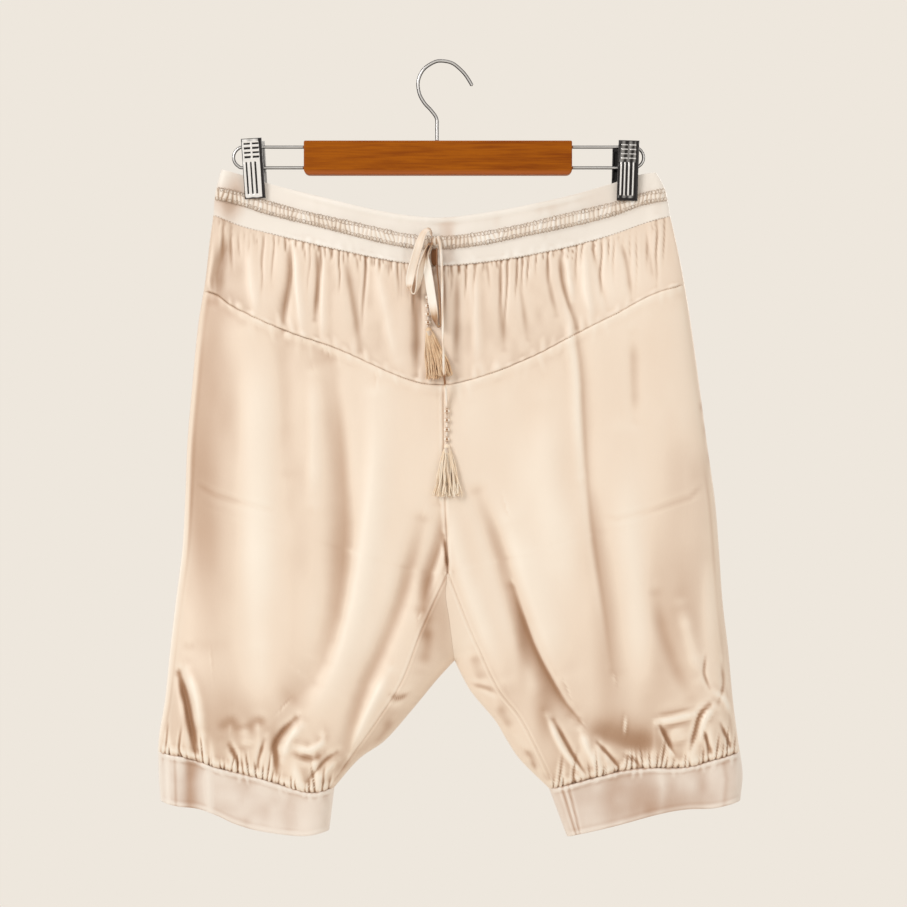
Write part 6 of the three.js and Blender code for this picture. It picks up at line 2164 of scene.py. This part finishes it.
def plate_relief(name, x, z):
    """Height and tone of a pressed steel plate: short marks above, long grooves below."""
    marks = np.zeros(x.shape)
    for number in range(SLOTS.rows):
        centre = SLOTS.top - number * SLOTS.pitch
        for side in (-SLOTS.x, SLOTS.x):
            mark = ridge(x - MARK_SHIFT[name] - side, SLOTS.half_wide) * ridge(z - centre, SLOTS.half_tall)
            marks = np.maximum(marks, mark)
    grooves = GROOVES[name]
    long = np.zeros(x.shape)
    middle, half = (grooves.top + grooves.foot) / 2, (grooves.top - grooves.foot) / 2
    for place in grooves.places:
        groove = ridge(x - place, grooves.half_wide) * ridge(z - middle, half, 1.5)
        long = np.maximum(long, groove)
    bulge = 0.5 * (1 - (x / 10) ** 2) - 0.3 * np.exp(-(((z + 20) / 2) ** 2))
    # The tone is painted light and shade. The left plate: painted shade in its marks and grooves, across
    # its top and down its left edge.
    if name == "left":
        height = bulge - 0.75 * marks - 0.85 * long
        tone = 1.1 - 2.7 * marks - 2.8 * long + 0.15 * np.sin(x * 0.8 + z * 0.12)
        tone -= 1.35 * smooth((z + 3.5) / 1) + 1.2 * ridge(x + PLATE.wide / 2, 0.9)
    else:
        height = bulge + 0.55 * marks + 0.7 * long
        # The right plate: painted shade all over and in its pressed field, with painted highlights along
        # the upper edges of its marks and on its raised grooves.
        bright = np.zeros(x.shape)
        for number in range(SLOTS.rows):
            upper = SLOTS.top - number * SLOTS.pitch + SLOTS.half_tall
            bright = np.maximum(bright, marks * np.exp(-(((z - upper) / 0.55) ** 2)))
        pressed = ridge(z - middle, half, 1.5) * ridge(x + 0.6, 8, 0.6)
        tone = -0.66 - 0.5 * pressed + 0.9 * bright + 2.6 * long + 0.12 * np.sin(x * 1.1 - z * 0.1)
    # Painted shade on one flank, towards the foot and round the rim.
    flank = FLANK_SHADE[name] * smooth((np.abs(x) - FLANK[name]) / 0.8)
    foot = smooth((PLATE.tall - 2.5 + z) / -1.2)
    rim = smooth((np.abs(x) - PLATE.wide / 2 + 0.8) / 0.4)
    rim += smooth((-z - PLATE.tall + 1) / 0.6) + smooth((z + 0.8) / 0.5)
    return height, np.clip(tone - np.maximum(flank * (x > 0), 1.5 * foot) - 1.2 * rim, -1, 1)


def flat_block(x0, x1, y0, y1, z0, z1):
    points = [(x, y, z) for z in (z0, z1) for y in (y0, y1) for x in (x0, x1)]
    faces = [(0, 2, 3, 1), (4, 5, 7, 6), (0, 1, 5, 4), (2, 6, 7, 3), (0, 4, 6, 2), (1, 3, 7, 5)]
    return points, faces


def plate_shell(name):
    """The plate as a closed shell, with rolled edges."""
    x = np.linspace(-PLATE.wide / 2, PLATE.wide / 2, PLATE_ACROSS)[None, :]
    z = np.linspace(0, -PLATE.tall, PLATE_DOWN)[:, None]
    x, z = np.broadcast_arrays(x, z)
    height, tone = plate_relief(name, x, z)
    edge = np.minimum(PLATE.wide / 2 - np.abs(x), np.minimum(-z, z + PLATE.tall))
    rolled = ROLLED_BY * (1 - turned(edge, ROLLED_WIDE))
    outer = np.stack([x, -height + rolled, z], -1).reshape(-1, 3)
    faces = grid_faces(*x.shape).tolist()
    number = np.arange(x.size).reshape(x.shape)
    rim = np.concatenate([number[0, :-1], number[:-1, -1], number[-1, :0:-1], number[:0:-1, 0]])
    inner = outer[rim] * (1, 0, 1) + (0, PLATE.thick, 0)
    behind = np.arange(len(rim)) + x.size
    faces += list(zip(rim, np.roll(rim, -1), np.roll(behind, -1), behind))
    faces.append(tuple(behind))
    # The back of the plate gets painted shade.
    tone = np.concatenate([tone.ravel(), np.full(len(rim), INNER_SHADE[name])])
    return (np.vstack([outer, inner]), faces), tone


def make_plate(clip, name, turned_round):
    shell, tone = plate_shell(clip.name)
    half = PLATE.wide / 2
    reach = PLATE.thick + EAR_BACK
    ears = [
        flat_block(x - EAR_HALF, x + EAR_HALF, EAR_FRONT, reach, EAR_FOOT, EAR_TOP)
        for x in (EAR_INSET - half, half - EAR_INSET)
    ]
    plate_y = PLATE.top_y - PLATE.lean * (JAW_TOP + JAW_FOOT) / 2
    jaw_face = -plate_y - PLATE.grip - JAW_EASE
    jaw = flat_block(JAW_INSET - half, half - JAW_INSET, JAW_FRONT, jaw_face, JAW_FOOT, JAW_TOP)
    points, faces = joined([shell, *ears, jaw])
    # The ears and the jaw get painted shade.
    tones = np.concatenate([tone, np.full(len(points) - len(tone), INNER_SHADE[clip.name])])
    mesh = outwards(fill_mesh(f"clip_{clip.name}_{name}_plate", points, faces, tones))
    turn = Matrix.Translation(Vector((0, PLATE.top_y, 0)) * MM) @ Matrix.Rotation(PLATE.lean, 4, "X")
    if turned_round:
        turn = Matrix.Rotation(math.pi, 4, "Z") @ turn
    turn = Matrix.Rotation(clip.tilt, 4, "Y") @ turn
    slipped, dropped = (clip.slipped, clip.dropped) if turned_round else (0, 0)
    place = Matrix.Translation(Vector((clip.x + slipped, 0, clip.top - dropped)) * MM)
    mesh.transform(place @ turn)
    plate = new_object(mesh.name, mesh, material_of("plate"))
    declare(eased(plate, PLATE_EDGE), [f"clip_{clip.name}_{name}"])


SPRING_RADIUS = 2.9
SPRING_WIRE = 0.5
SPRING_TURNS = 13
SPRING_SIDES = 8
TURN_STEPS = 20


def make_spring(clip):
    """The coiled spring on the wire, between the two plates."""
    pivot_z = (LOOP_TOP + LOOP_FOOT) / 2
    centre_x = clip.x + (pivot_z - clip.top) * math.sin(clip.tilt)
    half = (PLATE.wide - 3) / 2 - SPRING_WIRE
    t = np.linspace(0, 1, SPRING_TURNS * TURN_STEPS)
    angle = 2 * math.pi * SPRING_TURNS * t
    route = np.stack(
        [
            centre_x + mix(-half, half, t),
            SPRING_RADIUS * np.cos(angle),
            pivot_z + SPRING_RADIUS * np.sin(angle),
        ],
        -1,
    )
    points, faces = tube(route, SPRING_WIRE, SPRING_WIRE, SPRING_SIDES)
    shape = points, faces, np.zeros(len(points))
    name, nodes = f"clip_{clip.name}_coil", [f"clip_{clip.name}_spring"]
    closed_piece(name, shape, "wire", nodes)


def make_clips():
    for clip in CLIPS:
        make_plate(clip, "front", False)
        make_plate(clip, "back", True)
        make_spring(clip)


# ------------------------------------------------------------------ sizes and colours
def length_property(name, description, default, low, high):
    return FloatProperty(
        name=name, description=description, default=default, min=low, max=high,
        unit="LENGTH", subtype="DISTANCE", precision=5,
    )


def colour_property(name, description, *colour):
    return FloatVectorProperty(
        name=name, description=description, default=srgb(*colour), size=3, min=0, max=1,
        subtype="COLOR_GAMMA",
    )


class PantaloonSizes(PropertyGroup):
    """Sizes that a maker would change."""

    cloth: length_property("Cloth", "Thickness of the satin", 0.0009, 0.0004, 0.002)
    crease_strength: FloatProperty(
        name="Creases", description="Height of all folds and gathers", default=1, min=0, max=1.5
    )
    rib_pitch: length_property("Ribs", "Spacing of the casing's puffs", 0.0038, 0.002, 0.01)
    ribbon: length_property("Ribbon", "Width of the drawstring's bow", 0.0075, 0.004, 0.012)
    ribbon_thickness: length_property(
        "Ribbon thickness", "Thickness of the bow's ribbon", 0.0009, 0.0003, 0.002
    )
    tassel_strands: IntProperty(
        name="Strands", description="Strands in each tassel", default=80, min=20, max=300
    )


class PantaloonColours(PropertyGroup):
    """Colours of the cloths, threads, wood and metal."""

    satin_light: colour_property("Satin light", "Leg satin on its ridges", 254, 245, 233)
    satin: colour_property("Satin", "Leg satin", 243, 226, 209)
    satin_shade: colour_property("Satin shade", "Leg satin in its folds", 206, 178, 156)
    yoke_light: colour_property("Yoke light", "Yoke satin on its ridges", 251, 239, 226)
    yoke: colour_property("Yoke", "Yoke satin", 240, 222, 205)
    yoke_shade: colour_property("Yoke shade", "Yoke satin in its folds", 200, 174, 153)
    cuff_light: colour_property("Cuff light", "Cuff satin on its ridges", 250, 244, 237)
    cuff: colour_property("Cuff", "Cuff satin", 239, 228, 219)
    cuff_shade: colour_property("Cuff shade", "Cuff satin in its folds", 196, 166, 146)
    band_light: colour_property("Band light", "Band satin on its ridges", 252, 248, 243)
    band: colour_property("Band", "Band satin", 244, 238, 231)
    band_shade: colour_property("Band shade", "Band satin in its hollows", 226, 209, 196)
    ruched: colour_property("Ruching", "The casing's satin", 244, 233, 221)
    ruched_shade: colour_property("Ruching shade", "Between the puffs", 198, 176, 156)
    ribbon_light: colour_property("Ribbon light", "Ribbon's edges", 255, 250, 242)
    ribbon: colour_property("Ribbon", "Drawstring ribbon", 238, 219, 200)
    ribbon_shade: colour_property("Ribbon shade", "Ribbon in shade", 186, 148, 114)
    # Painted shade inside the slit under the bow.
    slit: colour_property("Slit", "Inside of the drawstring's slit", 150, 100, 60)
    stitch: colour_property("Stitching", "Sewing thread", 214, 192, 170)
    stitch_shade: colour_property("Stitching shade", "Sewing thread in shade", 138, 110, 88)
    tassel: colour_property("Tassel", "Tan tassel thread", 244, 218, 186)
    tassel_shade: colour_property("Tassel shade", "Tassel thread in shade", 220, 184, 146)
    tassel_pale: colour_property("Pale tassel", "The longer tassel's thread", 255, 247, 234)
    wood: colour_property("Wood", "Hanger bar", 166, 90, 6)
    wood_dark: colour_property("Wood grain", "Grain of the bar", 130, 60, 1)
    # A painted highlight along the bar's lower edge.
    wood_edge_highlight: colour_property("Wood edge", "Lower edge of the bar", 168, 92, 44)
    metal: colour_property("Metal", "Plated steel", 250, 250, 250)
    wire: colour_property("Wire", "Hook and wires", 196, 196, 198)
    # The dark end of the metal's painted shade and reflection: in its grooves, on the clips' shaded sides
    # and on the wires' sides.
    metal_dark: colour_property("Metal grooves", "Grooves in the metal", 34, 31, 32)


# ------------------------------------------------------------------ operators
class PANTALOONS_OT_stage(Operator):
    """Sets up the camera, the lights and the floor"""

    bl_idname = "pantaloons.stage"
    bl_label = "Stage"

    def execute(self, context):
        make_stage()
        return {"FINISHED"}


class PANTALOONS_OT_cords(Operator):
    """Hangs the drawstring's ends with their beads and tassels"""

    bl_idname = "pantaloons.cords"
    bl_label = "Drawstring ends and tassels"

    def execute(self, context):
        make_cords()
        return {"FINISHED"}


class PANTALOONS_OT_waistband(Operator):
    """Makes the waistband with its ruched casing"""

    bl_idname = "pantaloons.waistband"
    bl_label = "Waistband and casing"

    def execute(self, context):
        make_waistband()
        return {"FINISHED"}


class PANTALOONS_OT_yoke(Operator):
    """Makes the gathered hip yoke"""

    bl_idname = "pantaloons.yoke"
    bl_label = "Hip yoke"

    def execute(self, context):
        make_yoke()
        return {"FINISHED"}


class PANTALOONS_OT_legs(Operator):
    """Makes the front and back leg panels"""

    bl_idname = "pantaloons.legs"
    bl_label = "Legs"

    def execute(self, context):
        make_legs()
        return {"FINISHED"}


class PANTALOONS_OT_cuffs(Operator):
    """Makes the two cuffs"""

    bl_idname = "pantaloons.cuffs"
    bl_label = "Cuffs"

    def execute(self, context):
        make_cuffs()
        return {"FINISHED"}


class PANTALOONS_OT_pocket_bags(Operator):
    """Hangs the pocket bags behind the front panels"""

    bl_idname = "pantaloons.pocket_bags"
    bl_label = "Pocket bags"

    def execute(self, context):
        make_pocket_bags()
        return {"FINISHED"}


class PANTALOONS_OT_bow(Operator):
    """Ties the bow"""

    bl_idname = "pantaloons.bow"
    bl_label = "Bow"

    def execute(self, context):
        make_bow()
        return {"FINISHED"}


class PANTALOONS_OT_stitching(Operator):
    """Sews the stitches that show"""

    bl_idname = "pantaloons.stitching"
    bl_label = "Stitching"

    def execute(self, context):
        make_stitching()
        return {"FINISHED"}


class PANTALOONS_OT_hanger(Operator):
    """Makes the bar, the hook and the wires"""

    bl_idname = "pantaloons.hanger"
    bl_label = "Hanger"

    def execute(self, context):
        make_bar()
        make_hook_and_wires()
        return {"FINISHED"}


class PANTALOONS_OT_clips(Operator):
    """Makes the two sprung clips"""

    bl_idname = "pantaloons.clips"
    bl_label = "Clips"

    def execute(self, context):
        make_clips()
        return {"FINISHED"}


OPERATORS = (
    PANTALOONS_OT_stage,
    PANTALOONS_OT_cords,
    PANTALOONS_OT_waistband,
    PANTALOONS_OT_yoke,
    PANTALOONS_OT_legs,
    PANTALOONS_OT_cuffs,
    PANTALOONS_OT_pocket_bags,
    PANTALOONS_OT_bow,
    PANTALOONS_OT_stitching,
    PANTALOONS_OT_hanger,
    PANTALOONS_OT_clips,
)


class PANTALOONS_PT_sidebar(Panel):
    """Lists the pieces, their sizes and their colours"""

    bl_idname = "PANTALOONS_PT_sidebar"
    bl_label = "Pantaloons"
    bl_space_type = "VIEW_3D"
    bl_region_type = "UI"
    bl_category = "Pantaloons"

    def draw(self, context):
        for group in (context.scene.pantaloon_sizes, context.scene.pantaloon_colours):
            column = self.layout.column(align=True)
            for name in group.__annotations__:
                column.prop(group, name)
        for operator in OPERATORS:
            self.layout.operator(operator.bl_idname)


CLASSES = (PantaloonSizes, PantaloonColours, *OPERATORS, PANTALOONS_PT_sidebar)


def register():
    for made in CLASSES:
        bpy.utils.register_class(made)
    bpy.types.Scene.pantaloon_sizes = PointerProperty(type=PantaloonSizes)
    bpy.types.Scene.pantaloon_colours = PointerProperty(type=PantaloonColours)


def unregister():
    del bpy.types.Scene.pantaloon_colours
    del bpy.types.Scene.pantaloon_sizes
    for made in reversed(CLASSES):
        bpy.utils.unregister_class(made)


def main():
    register()
    bpy.ops.pantaloons.stage()
    bpy.ops.pantaloons.cords()
    bpy.ops.pantaloons.waistband()
    bpy.ops.pantaloons.yoke()
    bpy.ops.pantaloons.legs()
    bpy.ops.pantaloons.cuffs()
    bpy.ops.pantaloons.pocket_bags()
    bpy.ops.pantaloons.bow()
    bpy.ops.pantaloons.stitching()
    bpy.ops.pantaloons.hanger()
    bpy.ops.pantaloons.clips()


if __name__ == "__main__":
    main()
